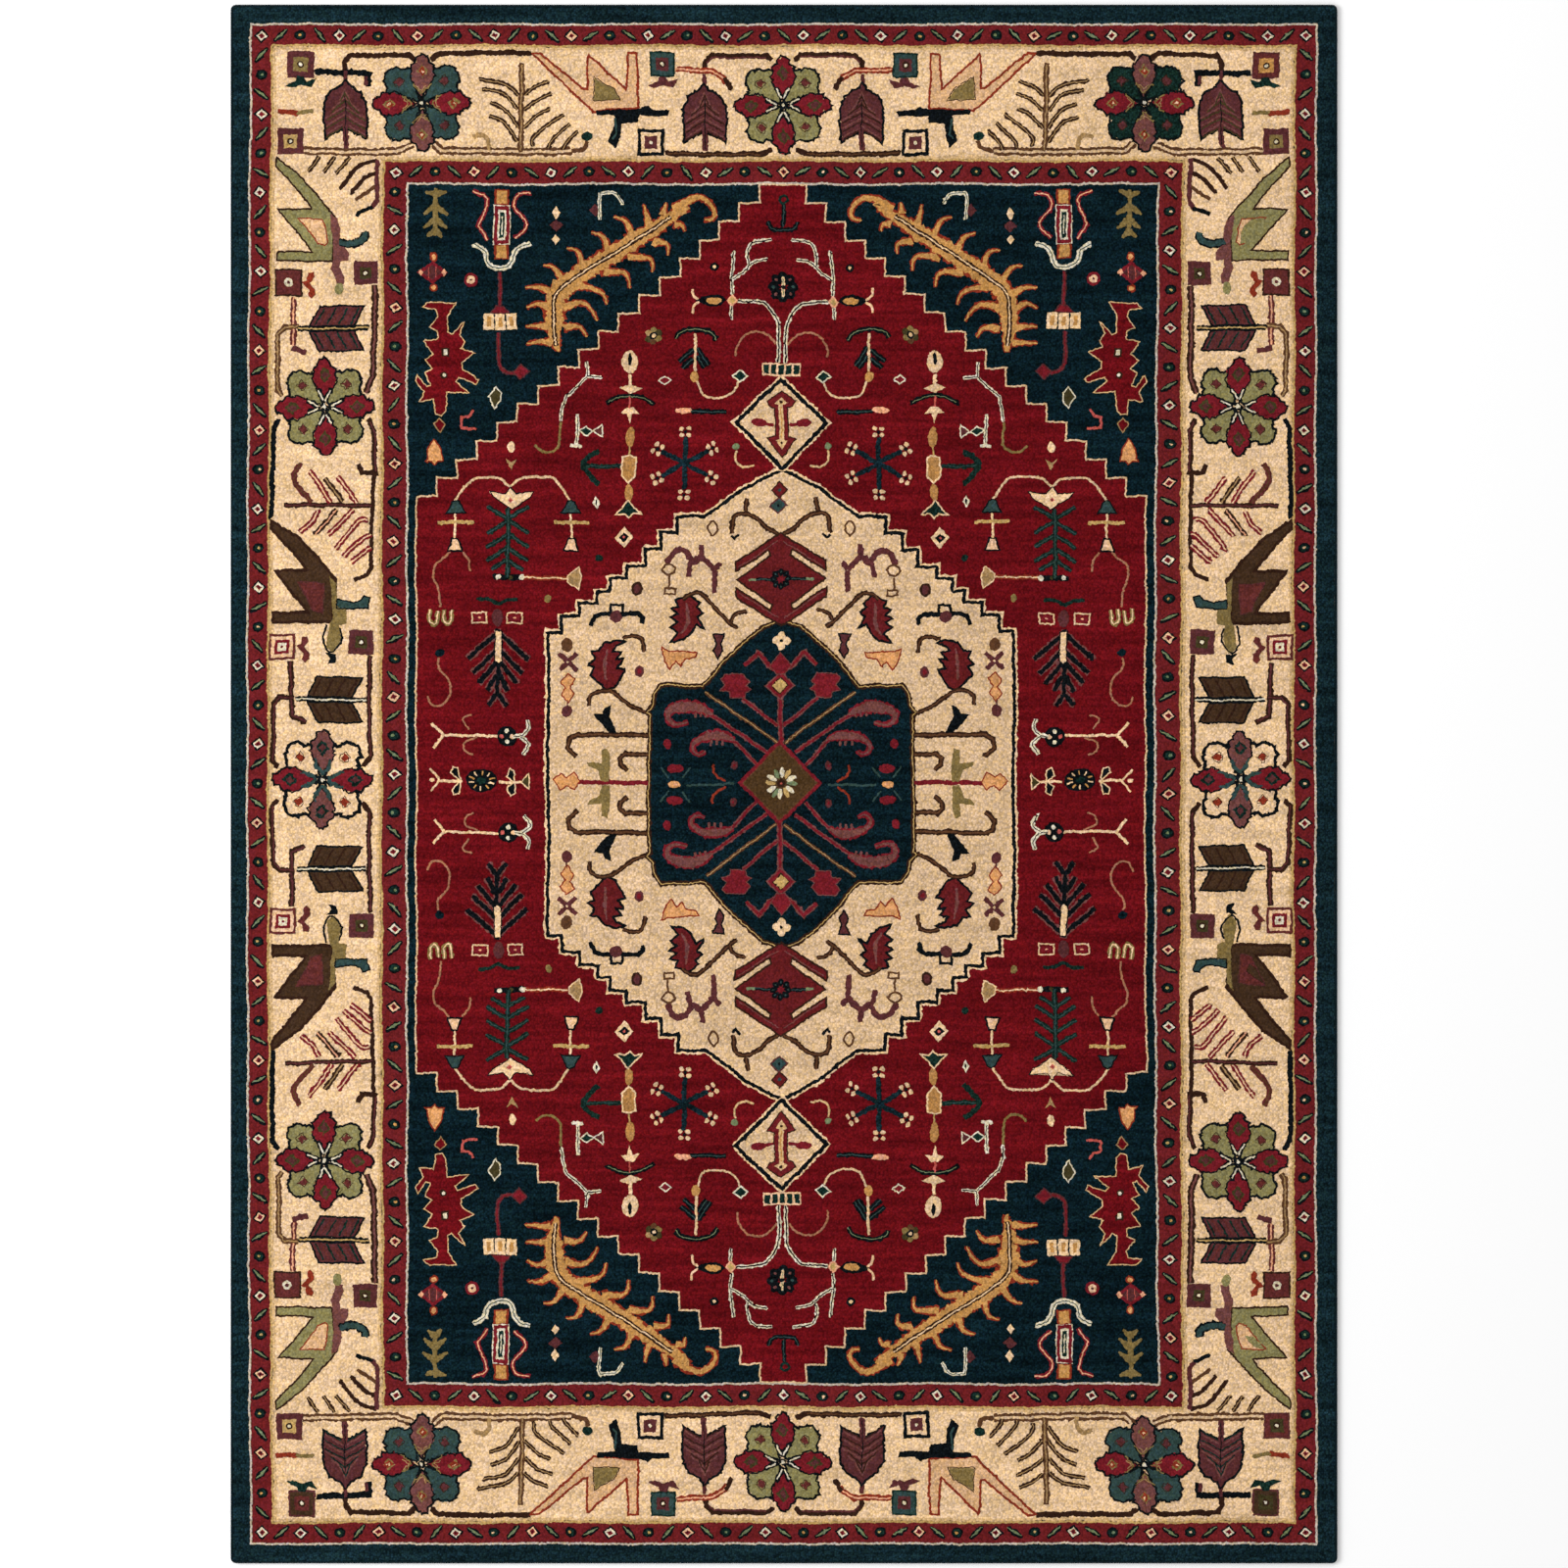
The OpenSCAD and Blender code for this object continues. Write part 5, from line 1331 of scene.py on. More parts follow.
def draw_medallion():
    draw_medallion_frame()
    for k in quarters("medallion"):
        medallion_vines(k)
    for k in quarters("medallion", 1):
        medallion_leaves(k)
    for k in ends("medallion", 1):
        eye(k)
    for k in sides("medallion", 1):
        k.line("red", 1, -29.6, 0.2, -44.6, 0.2)
        k.edged("rust", "orange", -50, 0.9, -48.3, 2.3, -47.2, 1.4, -45.4, 2.6, -44.4, 0.5,
                -45.4, -1.3, -47, -0.3, -48.4, -1.2, width=0.35)


# ---------- centre ----------

def stem(k, width, *xy):
    """A red stem between two rows of mauve."""
    k.double("mauve", "red", width, *xy, share=0.74)


def curl(k, xy, width):
    """A mauve scroll with a red edge."""
    k.line("red", [w + 0.6 for w in width], *xy, bend=True)
    k.line("mauve", width, *xy, bend=True)


def centre_scrolls(k):
    """The scrolls and stems that spread from the central diamond."""
    stem(k, 0.95, -3, 6.6, -9, 10.8, -16, 15.4)
    curl(k, (-15.2, 15.2, -17.6, 16.4, -20.6, 16.9, -23.4, 16.6, -25.2, 15.4, -25.2, 13.9,
             -23.6, 13, -20.8, 13.5), (0.6, 1.8, 2.3, 2.3, 1.7, 1, 0.7, 0.5))
    stem(k, 0.9, -5.4, 4, -8.4, 7.2, -10.8, 9.6)
    curl(k, (-10.6, 9.6, -12.8, 10.5, -15.4, 10.6, -17.8, 10.1, -19.6, 8.8, -19.5, 7.4,
             -18.3, 6.6, -16.9, 7.1), (0.6, 1.6, 1.9, 1.6, 1.1, 0.8, 0.6, 0.4))
    for x in (-15.7, -14.4, -13.1):
        k.line("mauve", 0.55, x, 9.6, x - 0.1, 8.4)
    for x in (-18.9, -17.7, -16.6):
        k.line("mauve", 0.55, x, 15.6, x - 0.2, 14.6)
    for yarn, width in (("brown", 0.75), ("tan", 0.35)):
        k.line(yarn, width, -0.8, 8.8, -5, 11.8, -16.6, 20)
    stem(k, 0.9, -0.6, 12.4, -8.4, 18.6)
    k.edged("mauve", "red", -13.2, 23, -12.4, 23.9, -8.2, 23.9, -6.8, 22.2, -7.7, 21.4, -6.5, 20.5,
            -7.7, 19.9, -7.9, 18.8, -11.1, 18.7, -11.3, 20, -13.3, 20.4, -12.3, 21.6, width=0.25)
    stem(k, 1.15, 0, 24.2, -2.8, 25.6, -5, 28.5, -7.9, 25.8)
    k.dot("red", -25.3, 8.8, 0.85, 1.1)
    k.dot("red", -23.5, 3.4, 1.8, 0.95)
    nested(k.dot, -10.4, 4, ("maroon", 0.75, 0.95), ("red", 0.4, 0.5))
    k.line("rust", 0.5, -15, 4.2, -14.9, 2.4, -12.4, 0.6, bend=True)
    k.line("teal", 0.4, -26.6, 3.8, -24.9, 1.4)
    k.line("teal", 0.4, -20.2, 3.8, -21.9, 1.5)


def centre_axis(k):
    """The stem above the central diamond, with its small diamond, bud and flower."""
    stem(k, 1.15, 0, 8, 0, 19.4)
    k.edged("mauve", "red", 0, 24.2, -3.1, 21.2, 0, 18.2, 3.1, 21.2, width=0.35)
    nested(k.diamond, 0, 21.2, ("umber", 2.1), ("straw", 1.8))
    k.block("straw", 0, 21.2, 1, 1)
    k.edged("mauve", "red", -0.9, 23.8, -2.4, 25.6, 0, 28.5, 2.4, 25.6, 0.9, 23.8, width=0.25)
    for turn in QUARTER_TURNS:
        p = k.at(0, 31, turn)
        p.order = k.order
        p.dot("ivory", 0, 1, 0.85, 1)
    k.order += 1
    k.dot("ink", 0, 31, 0.5)


def centre_flower():
    """The central diamond and its flower."""
    k = Brush("centre", level=2)
    nested(k.diamond, -0.3, 0.2, ("red", 9.4, 9.3), ("brown", 8.5, 8.4))
    k.order += 10  # clear of the brown, whose wide top bends another way
    k.diamond("bronze", -0.3, 0.2, 8.1, 8)
    rng = random.Random(SEED)
    for turn in range(0, 360, 30):
        p = k.at(0, 0, turn + rng.uniform(-5, 5))
        p.order = k.order + turn / 60
        p.dot(("white", "leafgreen", "white", "straw")[turn // 30 % 4], 0, 2.35, 0.62, 1.25)
    for turn in range(15, 375, 60):
        p = k.at(0, 0, turn)
        p.order = k.order + 7
        p.line("umber", 0.28, 0, 1.1, 0, 3.4)
    nested(k.dot, 0, 0, ("umber", 1), ("rose", 0.4))


def draw_centre():
    base = Brush("centre")
    base.line("umber", 1.1, *flat(CENTRE), loop=True)
    base.line("straw", 0.38, *flat(CENTRE), loop=True)
    for k in quarters("centre"):
        centre_scrolls(k)
    for k in ends("centre", 1):
        centre_axis(k)
    for k in sides("centre", 1):
        k.line("teal", 0.5, -10.4, 0, -21, -0.2)
        k.dot("orange", -23.6, 0, 1.4, 0.75)
        k.dot("pink", -23.3, 0, 0.6, 0.35)
    centre_flower()


# ---------- materials ----------

MOST_NOISE = (0.3, 0.7)  # nearly all of a noise texture's values lie between these


class Recipe:
    """A new material, with short ways to add nodes to it."""

    def __init__(self, name):
        self.material = bpy.data.materials.new(name)
        self.material.use_nodes = True
        self.tree = self.material.node_tree
        self.shader = self.tree.nodes["Principled BSDF"]
        self.place = self.node("TexCoord").outputs["Object"]

    def feed(self, node, inputs):
        """Sets each input of a node to a value, or links it to another node's output."""
        for name, value in inputs.items():
            if isinstance(value, bpy.types.NodeSocket):
                self.tree.links.new(value, node.inputs[name])
            else:
                node.inputs[name].default_value = value

    def node(self, kind, inputs=None, **settings):
        node = self.tree.nodes.new("ShaderNode" + kind)
        for name, value in settings.items():
            setattr(node, name, value)
        self.feed(node, inputs or {})
        return node

    def maths(self, kind, a, b):
        return self.node("Math", {0: a, 1: b}, operation=kind).outputs[0]

    def ramp(self, value, low, high, to_low, to_high):
        """A value from between low and high, taken to between to_low and to_high."""
        return self.node("MapRange", {"Value": value, "From Min": low, "From Max": high,
                                      "To Min": to_low, "To Max": to_high}).outputs["Result"]

    def noise(self, scale, stretch=None, detail=2):
        place = self.place
        if stretch:
            place = self.node("Mapping", {"Scale": stretch, "Vector": place}).outputs["Vector"]
        return self.node(
            "TexNoise", {"Scale": scale, "Detail": detail, "Vector": place}).outputs["Fac"]

    def mottle(self, spread, scale, stretch=None, detail=2):
        """A factor about 1 that varies with a noise, by spread each way."""
        return self.ramp(self.noise(scale, stretch, detail), *MOST_NOISE, 1 - spread, 1 + spread)

    def tint(self, colour, factor):
        """A colour multiplied by a varying factor."""
        return self.node(
            "VectorMath", {0: colour, "Scale": factor}, operation="SCALE").outputs["Vector"]

    def bump(self, height, depth, strength=1.0):
        return self.node("Bump", {"Strength": strength, "Distance": depth,
                                  "Height": height}).outputs["Normal"]


TUFTS_PER_METRE = 230
YELLOWER, PALER = (1, 0.96, 0.78), (1, 1.04, 1.22)  # the two dye tones of a yarn


def wool(name, colour, abrash_and_pile_shade, grain_and_shade):
    """Cut wool pile: tufts with painted shade in the gaps between them, slow changes of dye and
    painted shading of the pile's lay along the rows, and loose fibre.
    """
    m = Recipe(name)
    cells = m.node("TexVoronoi", {"Scale": TUFTS_PER_METRE, "Randomness": 0.9, "Vector": m.place},
                   voronoi_dimensions="2D")
    split = m.node("SeparateColor", {"Color": cells.outputs["Color"]})
    # painted shade: each tuft's colour darkens towards the gaps between tufts, where the pile lies
    # deeper
    gap = m.ramp(cells.outputs["Distance"], 0.1, 0.75, 1.05, 1.05 - 0.28 * grain_and_shade)
    each = m.ramp(split.outputs[0], 0, 1, 1.02 - 0.22 * grain_and_shade, 1.02 + 0.22 * grain_and_shade)
    clumps = m.mottle(0.1 * grain_and_shade, 170, detail=3)
    drift = m.mottle(0.07, 16, detail=5)
    # dye and painted shade: the streaks along the rows stand for abrash in the dye and also for the
    # pile looking lighter and darker where its lay turns
    dye_and_pile_shade = m.mottle(abrash_and_pile_shade, 1, (3.5, 42, 1), 3)
    rows = m.mottle(0.5 * abrash_and_pile_shade, 1, (9, 115, 1), 1)
    factor = gap
    for part in (each, clumps, drift, dye_and_pile_shade, rows):
        factor = m.maths("MULTIPLY", factor, part)
    yellow, pale = ([c * k for c, k in zip(colour, tone)] for tone in (YELLOWER, PALER))
    dyes = m.node("Mix", data_type="RGBA")
    m.feed(dyes, {0: split.outputs[1], 6: (*yellow, 1), 7: (*pale, 1)})
    fibre = m.noise(1100)
    dome = m.maths("MULTIPLY", cells.outputs["Distance"], -1)
    height = m.maths("ADD", dome, m.maths("MULTIPLY", fibre, 0.35))
    m.feed(m.shader, {
        "Base Color": m.tint(dyes.outputs[2], factor),
        "Normal": m.bump(height, 1.1 * MM, 0.7),
        "Roughness": m.ramp(fibre, *MOST_NOISE, 0.86, 1.0),
        "Specular IOR Level": 0.02, "Sheen Weight": 0.08, "Sheen Roughness": 0.5,
        "Sheen Tint": (*colour, 1)})
    return m.material


def weave(name, colour, threads, depth, tone=0.2):
    """Plain-woven cotton with so many threads to the metre."""
    m = Recipe(name)
    waves = [
        m.node("TexWave", {"Scale": threads / 20, "Distortion": 0.6, "Detail": 1,
                           "Vector": m.place}, bands_direction=turn).outputs["Fac"]
        for turn in ("X", "Y")]
    cloth = m.maths("MAXIMUM", *waves)
    slub = m.noise(60, (1, 9, 1), 3)
    # painted shade: the cloth is darker, by up to tone, in the hollows between the threads where the
    # bump is low
    factor = m.maths("MULTIPLY", m.ramp(cloth, 0.2, 1, 1 - tone, 1),
                     m.ramp(slub, *MOST_NOISE, 0.9, 1.05))
    m.feed(m.shader, {
        "Base Color": m.tint(colour, factor), "Normal": m.bump(cloth, depth),
        "Roughness": m.ramp(slub, *MOST_NOISE, 0.82, 0.95), "Specular IOR Level": 0.2})
    return m.material


def rubber(name, colour):
    """A dull, lumpy coat of latex."""
    m = Recipe(name)
    lumps = m.noise(160, detail=4)
    m.feed(m.shader, {
        "Base Color": m.tint(colour, m.ramp(lumps, *MOST_NOISE, 0.85, 1.05)),
        "Normal": m.bump(lumps, 0.4 * MM),
        "Roughness": m.ramp(lumps, *MOST_NOISE, 0.5, 0.7)})
    return m.material


# ---------- pieces from the drawn shapes ----------

SLOTS = {
    "navy_wool": ("petrol", "navy", "ink"),
    "red_wool": ("red", "garnet", "crimson", "guard_red", "rose"),
    "ivory_wool": ("ivory", "cream", "shell", "peach", "pink"),
    "white_wool": ("white", "chalk"),
    "gold_wool": ("gold", "ochre", "orange", "straw", "sand", "tan"),
    "brown_wool": ("umber", "bark", "brown", "bronze", "clay"),
    "maroon_wool": ("maroon", "wine", "mauve", "rust"),
    "green_wool": ("olive", "sage", "moss", "leafgreen", "forest"),
    "teal_wool": ("teal",),
}
STANDS_FOR = {
    "outer_border_ground_petrol": ["outer_border_" + side for side in SIDES],
    "outer_guard_ground_guard_red": ["outer_guard_pile"],
    "main_border_ground_ivory": ["main_border_pile"],
    "inner_guard_ground_guard_red": ["inner_guard_pile"],
    "spandrel_left_ground_navy": ["spandrel_left_pile"],
    "spandrel_right_ground_navy": ["spandrel_right_pile"],
    "field_ground_crimson": ["field_pile"],
    "medallion_ground_cream": ["medallion_pile"],
    "pendant_ground_cream": ["pendants"],
    "centre_ground_navy": ["centre_pile"],
    "bands_chalk": ["outer_piping", "inner_piping"],
    "bands_straw": ["main_border_edge_rows"],
    "guards_forest": ["outer_guard_discs", "inner_guard_discs"],
    "guards_leafgreen": ["outer_guard_bars", "inner_guard_bars"],
    "guards_white": ["outer_guard_rings", "inner_guard_rings"],
    "border_teal": ["border_rosette_diagonal_petals"],
    "border_red": ["border_rosette_axis_petals"],
    "border_maroon": ["border_leaves", "border_square_hearts"],
    "border_sage": ["border_birds"],
    "border_umber": ["border_vines", "border_squares"],
    "border_brown": ["border_sprays"],
    "spandrel_gold": ["spandrel_feathers"],
    "spandrel_crimson": ["spandrel_leaves"],
    "spandrel_maroon": ["spandrel_lanterns"],
    "spandrel_olive": ["spandrel_plants"],
    "field_white": ["field_candelabra"],
    "field_ochre": ["field_totems"],
    "field_forest": ["field_ferns", "field_flowers"],
    "field_cream": ["field_piping", "field_arches", "field_stars"],
    "field_ink": ["field_spiders"],
    "medallion_ivory": ["medallion_piping"],
    "medallion_ink": ["medallion_outline", "pendant_outlines"],
    "medallion_garnet": ["medallion_leaves", "medallion_eyes"],
    "medallion_umber": ["medallion_branches"],
    "centre_straw": ["centre_outline"],
    "centre_mauve": ["centre_curls"],
    "centre_bronze": ["centre_diamond"],
    "centre_white": ["centre_flower"],
}


def finish_piece(obj, material, slot, nodes=()):
    """Gives a piece its material and body, and hides the CAD nodes that it stands for. The slot is not
    used.
    """
    dress(obj, material)
    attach(obj, "root")
    if nodes:
        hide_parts(*nodes)


def add_object(name, data):
    obj = bpy.data.objects.new(name, data)
    bpy.context.collection.objects.link(obj)
    return obj


def dress(obj, material):
    obj.data.materials.clear()
    obj.data.materials.append(material)


def mesh_object(name, verts, faces, smooth=False):
    mesh = bpy.data.meshes.new(name)
    mesh.from_pydata(verts, [], faces)
    mesh.update()
    if smooth:
        mesh.polygons.foreach_set("use_smooth", [True] * len(mesh.polygons))
    return add_object(name, mesh)


# How much a yarn's dye, with the painted shading of the pile's lay, varies along the rug, and how
# strongly its tufts stand out, with painted shade between them
ABRASH_AND_PILE_SHADE = {"petrol": 0.4, "navy": 0.4, "crimson": 0.28}
ABRASH_AND_PILE_SHADE_OTHERS = 0.1
DARKEST = 0.03  # grain and the painted shade between tufts hardly show on a yarn darker than this, so it gets more, which also stands for painted sheen highlights and dust on its tufts
GRAIN_AND_SHADE_DARK, GRAIN_AND_SHADE_CRIMSON, GRAIN_AND_SHADE_OTHERS = 2.3, 1.3, 1.12


def make_pile():
    """Turns what was drawn into pieces, one for each zone and yarn."""
    slot_of = {yarn: slot for slot, yarns in SLOTS.items() for yarn in yarns}
    materials = {}
    for (zone, yarn), (verts, faces) in meshes.items():
        if yarn not in materials:
            grain_and_shade = (GRAIN_AND_SHADE_DARK if max(YARNS[yarn]) < DARKEST
                     else GRAIN_AND_SHADE_CRIMSON if yarn == "crimson" else GRAIN_AND_SHADE_OTHERS)
            materials[yarn] = wool(yarn + "_yarn", YARNS[yarn], ABRASH_AND_PILE_SHADE.get(yarn, ABRASH_AND_PILE_SHADE_OTHERS),
                                   grain_and_shade)
        name = f"{zone}_{yarn}"
        finish_piece(mesh_object(name, verts, faces), materials[yarn], slot_of[yarn],
                     STANDS_FOR.get(name, ()))


# ---------- edge and backing ----------

# the binding's dark navy yarn, which also paints the thin shadow line along the rug's rim
EDGE_YARN_AND_RIM_SHADE = (0.0060, 0.0140, 0.0180)
BINDING_CORNER = 9 * MM
STITCH_PITCH = 5 * MM
STITCH_SAMPLES = 4  # cross-sections to a stitch
SECTION_POINTS = 10
STITCH_WAIST = 0.86  # thickness of the binding between two stitches, next to the middle of one
STITCH_LEAN = 0.9
SQUARENESS = 0.75  # a power: 1 makes the binding's section an oval, and less makes it squarer


def rounded_path(half_w, half_l, radius, spacing):
    """Points and outward normals round a rectangle with rounded corners, evenly spaced."""
    corners = ((1, 1, 0), (-1, 1, 90), (-1, -1, 180), (1, -1, 270))
    out = []
    for i, (sx, sy, start) in enumerate(corners):
        cx, cy = sx * (half_w - radius), sy * (half_l - radius)
        arc = max(2, round(math.pi / 2 * radius / spacing))
        for k in range(arc):
            angle = math.radians(start + 90 * k / arc)
            nx, ny = math.cos(angle), math.sin(angle)
            out.append((cx + radius * nx, cy + radius * ny, nx, ny))
        nx, ny = math.cos(math.radians(start + 90)), math.sin(math.radians(start + 90))
        tx, ty, _ = corners[(i + 1) % 4]
        ax, ay = cx + radius * nx, cy + radius * ny
        bx, by = tx * (half_w - radius) + radius * nx, ty * (half_l - radius) + radius * ny
        run = round(math.dist((ax, ay), (bx, by)) / spacing)
        out += [(ax + (bx - ax) * k / run, ay + (by - ay) * k / run, nx, ny) for k in range(run)]
    return out


def make_binding():
    """Overcast wool stitches round the edge, each wrap leaning a little."""
    half = BINDING_W / 2
    path = rounded_path(HALF_W - half, HALF_L - half, BINDING_CORNER,
                        STITCH_PITCH / STITCH_SAMPLES)
    count = len(path) // STITCH_SAMPLES * STITCH_SAMPLES
    rng = random.Random(SEED)
    verts, faces = [], []
    mid_z = BINDING_TOP / 2
    for i, (x, y, nx, ny) in enumerate(path[:count]):
        if i % STITCH_SAMPLES == 0:
            plump = rng.uniform(0.97, 1.03)
        for k in range(SECTION_POINTS):
            angle = 2 * math.pi * (k + 0.5) / SECTION_POINTS
            c, s = math.cos(angle), math.sin(angle)
            wrap = 0.5 + 0.5 * math.cos(2 * math.pi * i / STITCH_SAMPLES + STITCH_LEAN * s)
            size = plump * (STITCH_WAIST + (1 - STITCH_WAIST) * wrap)
            out = half * size * math.copysign(abs(c) ** SQUARENESS, c)
            up = mid_z * size * math.copysign(abs(s) ** SQUARENESS, s)
            verts.append((x + nx * out, y + ny * out, mid_z + up))
    for i in range(count):
        a, b = SECTION_POINTS * i, SECTION_POINTS * ((i + 1) % count)
        for k in range(SECTION_POINTS):
            m = (k + 1) % SECTION_POINTS
            faces.append((a + k, a + m, b + m, b + k))
    edge = mesh_object("edge_stitches", verts, faces, True)
    finish_piece(edge, wool("edge_yarn", EDGE_YARN_AND_RIM_SHADE, 0.1, 0.6), "edge_yarn",
                 ["edge_binding_" + side for side in SIDES])


def slab(name, spots, nx, ny, low, top):
    """A thin closed sheet over a grid. spots(u, v) gives x and y; low(x, y) and top(x, y) give its
    two sides."""
    verts, faces = [], []
    for i in range(nx + 1):
        for j in range(ny + 1):
            x, y = spots(i / nx, j / ny)
            verts += [(x, y, low(x, y)), (x, y, top(x, y))]

    def at(i, j, side):
        return 2 * (i * (ny + 1) + j) + side

    for i in range(nx):
        for j in range(ny):
            faces.append((at(i, j, 1), at(i + 1, j, 1), at(i + 1, j + 1, 1), at(i, j + 1, 1)))
            faces.append((at(i, j, 0), at(i, j + 1, 0), at(i + 1, j + 1, 0), at(i + 1, j, 0)))
    for i in range(nx):
        faces.append((at(i, 0, 0), at(i + 1, 0, 0), at(i + 1, 0, 1), at(i, 0, 1)))
        faces.append((at(i, ny, 1), at(i + 1, ny, 1), at(i + 1, ny, 0), at(i, ny, 0)))
    for j in range(ny):
        faces.append((at(0, j, 1), at(0, j + 1, 1), at(0, j + 1, 0), at(0, j, 0)))
        faces.append((at(nx, j, 0), at(nx, j + 1, 0), at(nx, j + 1, 1), at(nx, j, 1)))
    return mesh_object(name, verts, faces, True)


TAPE_W = HALF_W - BINDING_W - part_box("secondary_backing")[1].x
CLOTH_X, CLOTH_Y = HALF_W - BINDING_W - TAPE_W, HALF_L - BINDING_W - TAPE_W
CLOTH_LAP = 3 * MM  # how far the cloth runs under the tapes
CLOTH_CELLS = (110, 154)
CLOTH_SLACK = 0.1 * MM
TAPE_CELL, TAPE_CELLS_ACROSS = 0.02, 10
TAPE_LIFT = 0.25 * MM  # how far the middle of a tape lies over its folded edges
TAPE_FOLD = 0.2  # the folded edges' part of a tape's half width
TAPE_PUCKER = 0.08 * MM
CLOTH_GAP, TAPE_GAP = 0.05 * MM, 0.1 * MM  # between their tops and the top of their CAD layer

# Colours of what isn't wool, in linear RGB
CLOTH_COLOUR = (0.66, 0.58, 0.43)
TAPE_COLOUR = (0.56, 0.49, 0.36)
THREAD_COLOUR = (0.6, 0.54, 0.42)
CANVAS_COLOUR = (0.55, 0.50, 0.38)
LATEX_COLOUR = (0.55, 0.53, 0.47)


def make_cloth():
    """The cotton cloth glued over the back, which lies a little uneven."""
    def slack(x, y):
        return CLOTH_SLACK * (1 + math.sin(31 * x + 2 * math.sin(9 * y)) * math.sin(23 * y + x))

    cloth = slab(
        "backing_cloth",
        lambda u, v: ((2 * u - 1) * (CLOTH_X + CLOTH_LAP), (2 * v - 1) * (CLOTH_Y + CLOTH_LAP)),
        *CLOTH_CELLS, slack, lambda x, y: CLOTH_TOP - CLOTH_GAP)
    finish_piece(cloth, weave("backing_cotton", CLOTH_COLOUR, 900, 0.2 * MM),
                 "cotton_backing", ["secondary_backing"])
    return cloth


def make_tape(side, start, end, inward, material):
    """One tape along the edge from start to end, mitred at both, and its stitches."""
    inx, iny = inward
    ux, uy = abs(iny), abs(inx)
    length = math.dist(start, end)

    def spot(u, v):
        along = v * TAPE_W + u * (length - 2 * v * TAPE_W)
        return start[0] + ux * along + inx * v * TAPE_W, start[1] + uy * along + iny * v * TAPE_W

    def under(x, y):
        deep = abs((x - start[0]) * inx + (y - start[1]) * iny) / TAPE_W
        fold = max(0, abs(2 * deep - 1) - (1 - TAPE_FOLD)) / TAPE_FOLD
        return TAPE_LIFT * (1 - fold) - TAPE_PUCKER * math.sin(90 * (x + y))

    tape = slab("backing_tape_" + side + "_cloth", spot, round(length / TAPE_CELL),
                TAPE_CELLS_ACROSS, under, lambda x, y: CLOTH_TOP - TAPE_GAP)
    stitched = add_stitches("tape_stitches_" + side, spot, length)
    finish_piece(tape, material, "cotton_tape", ["backing_tape_" + side])
    return stitched


def make_backing():
    """The cloth, the four tapes and their stitches."""
    cloth = make_cloth()
    tape_cotton = weave("tape_cotton", TAPE_COLOUR, 1300, 0.2 * MM, 0.3)
    x, y = CLOTH_X + TAPE_W, CLOTH_Y + TAPE_W
    stitches = [make_tape(*run, tape_cotton) for run in (
        ("top", (-x, y), (x, y), (0, -1)), ("bottom", (-x, -y), (x, -y), (0, 1)),
        ("left", (-x, -y), (-x, y), (1, 0)), ("right", (x, -y), (x, y), (-1, 0)))]
    thread = weave("stitch_thread", THREAD_COLOUR, 4000, 0.05 * MM)
    for stitched in stitches:
        finish_piece(stitched, thread, "cotton_tape")


STITCH_GAP = 12 * MM
STITCH_ROWS = (0.12, 0.88)  # where the rows run, across the tape
STITCH_SPAN = (0.2, 0.8)  # where a stitch starts and ends in its gap
THREAD_HALF = 0.45 * MM
THREAD_DEEP = 0.55 * MM


def add_stitches(name, spot, length):
    """Two rows of running stitches along a tape, on its underside."""
    verts, faces = [], []
    count = int(length / STITCH_GAP)
    for v in STITCH_ROWS:
        for k in range(2, count - 2):
            (ax, ay), (bx, by) = (spot((k + t) / count, v) for t in STITCH_SPAN)
            ux, uy = (bx - ax), (by - ay)
            size = math.hypot(ux, uy)
            sx, sy = -uy / size * THREAD_HALF, ux / size * THREAD_HALF
            first = len(verts)
            for t, drop in ((0, 0.5), (0.5, 0.0), (1, 0.5)):
                px, py = ax + ux * t, ay + uy * t
                for across, z in ((-1, THREAD_DEEP), (-0.5, drop * THREAD_DEEP),
                                  (0.5, drop * THREAD_DEEP), (1, THREAD_DEEP)):
                    verts.append((px + sx * across, py + sy * across, z))
            for a in (first, first + 4):
                for q in range(4):
                    m = (q + 1) % 4
                    faces.append((a + q, a + 4 + q, a + 4 + m, a + m))
            faces.append((first, first + 1, first + 2, first + 3))
            faces.append((first + 11, first + 10, first + 9, first + 8))
    return mesh_object(name, verts, faces)


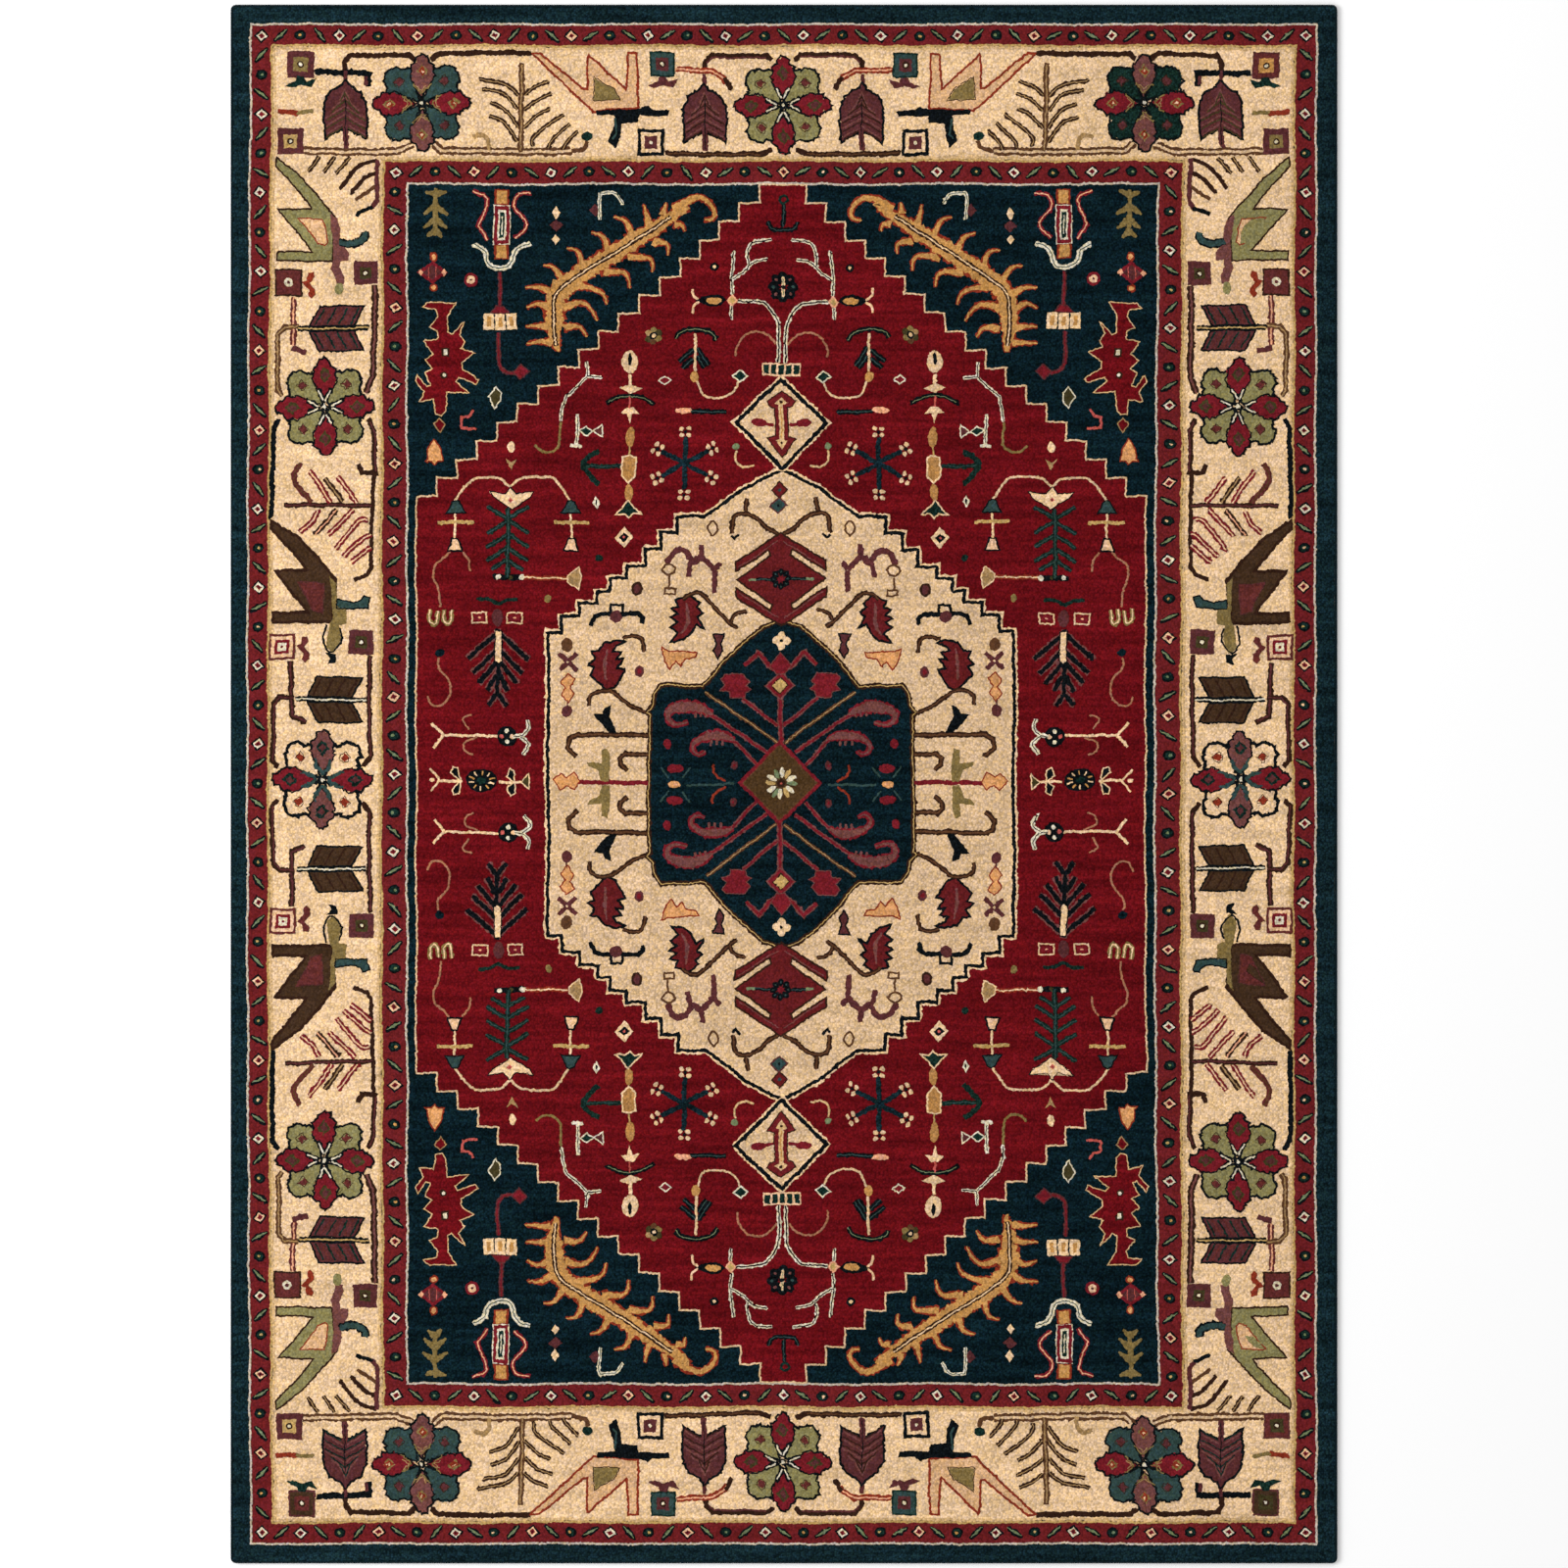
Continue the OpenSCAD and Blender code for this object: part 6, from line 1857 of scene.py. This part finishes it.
def dress_hidden_layers():
    """Materials for the CAD layers that show only in section."""
    canvas = weave("tufting_canvas", CANVAS_COLOUR, 1100, 0.15 * MM)
    rubbery = rubber("latex_coat", LATEX_COLOUR)
    for node, material in (("canvas_hem", canvas), ("primary_backing", canvas),
                           ("latex_layer", rubbery)):
        dress(NODES[node], material)


# ---------- floor, light and camera ----------

CAMERA_HEIGHT = 9.439  # over the pile: a 100 mm lens then frames the rug as the photograph does
FLOOR_HALF = 12
LAMPS = (  # name, place, watts, size
    ("key", (-7.2, 0.8, 6.6), 660, 4.5),
    ("top", (-0.5, 6.5, 7.0), 165, 5.0),
    ("bottom", (-1.0, -6.5, 7.0), 120, 5.0))


def make_stage():
    """A pale floor, soft studio light and a camera straight above."""
    corners = ((-1, -1), (1, -1), (1, 1), (-1, 1))
    floor = mesh_object("floor", [(x * FLOOR_HALF, y * FLOOR_HALF, -0.2 * MM) for x, y in corners],
                        [(0, 1, 2, 3)])
    paint = Recipe("floor_paint")
    paint.feed(paint.shader, {"Base Color": (0.93, 0.93, 0.93, 1), "Roughness": 0.9,
                              "Specular IOR Level": 0.1})
    dress(floor, paint.material)

    scene = bpy.context.scene
    scene.world = bpy.data.worlds.new("studio")
    scene.world.use_nodes = True
    sky = scene.world.node_tree.nodes["Background"]
    sky.inputs["Color"].default_value = (1, 1, 1, 1)
    sky.inputs["Strength"].default_value = 0.55

    for name, spot, watts, size in LAMPS:
        lamp = bpy.data.lights.new(name, "AREA")
        lamp.energy, lamp.size = watts, size
        obj = add_object(name, lamp)
        obj.location = spot
        obj.rotation_mode = "QUATERNION"
        obj.rotation_quaternion = Vector(spot).to_track_quat("Z", "Y")

    camera = bpy.data.cameras.new("camera")
    camera.lens, camera.sensor_width = 100, 36
    scene.camera = add_object("camera", camera)
    scene.camera.location = (0, 0, TOP + CAMERA_HEIGHT)
    scene.view_settings.view_transform = "Standard"


# ---------- the rug ----------

make_grounds()
draw_frames()
draw_guards()
draw_border()
draw_spandrels()
draw_field()
draw_medallion()
draw_centre()
make_pile()
make_binding()
make_backing()
dress_hidden_layers()
make_stage()
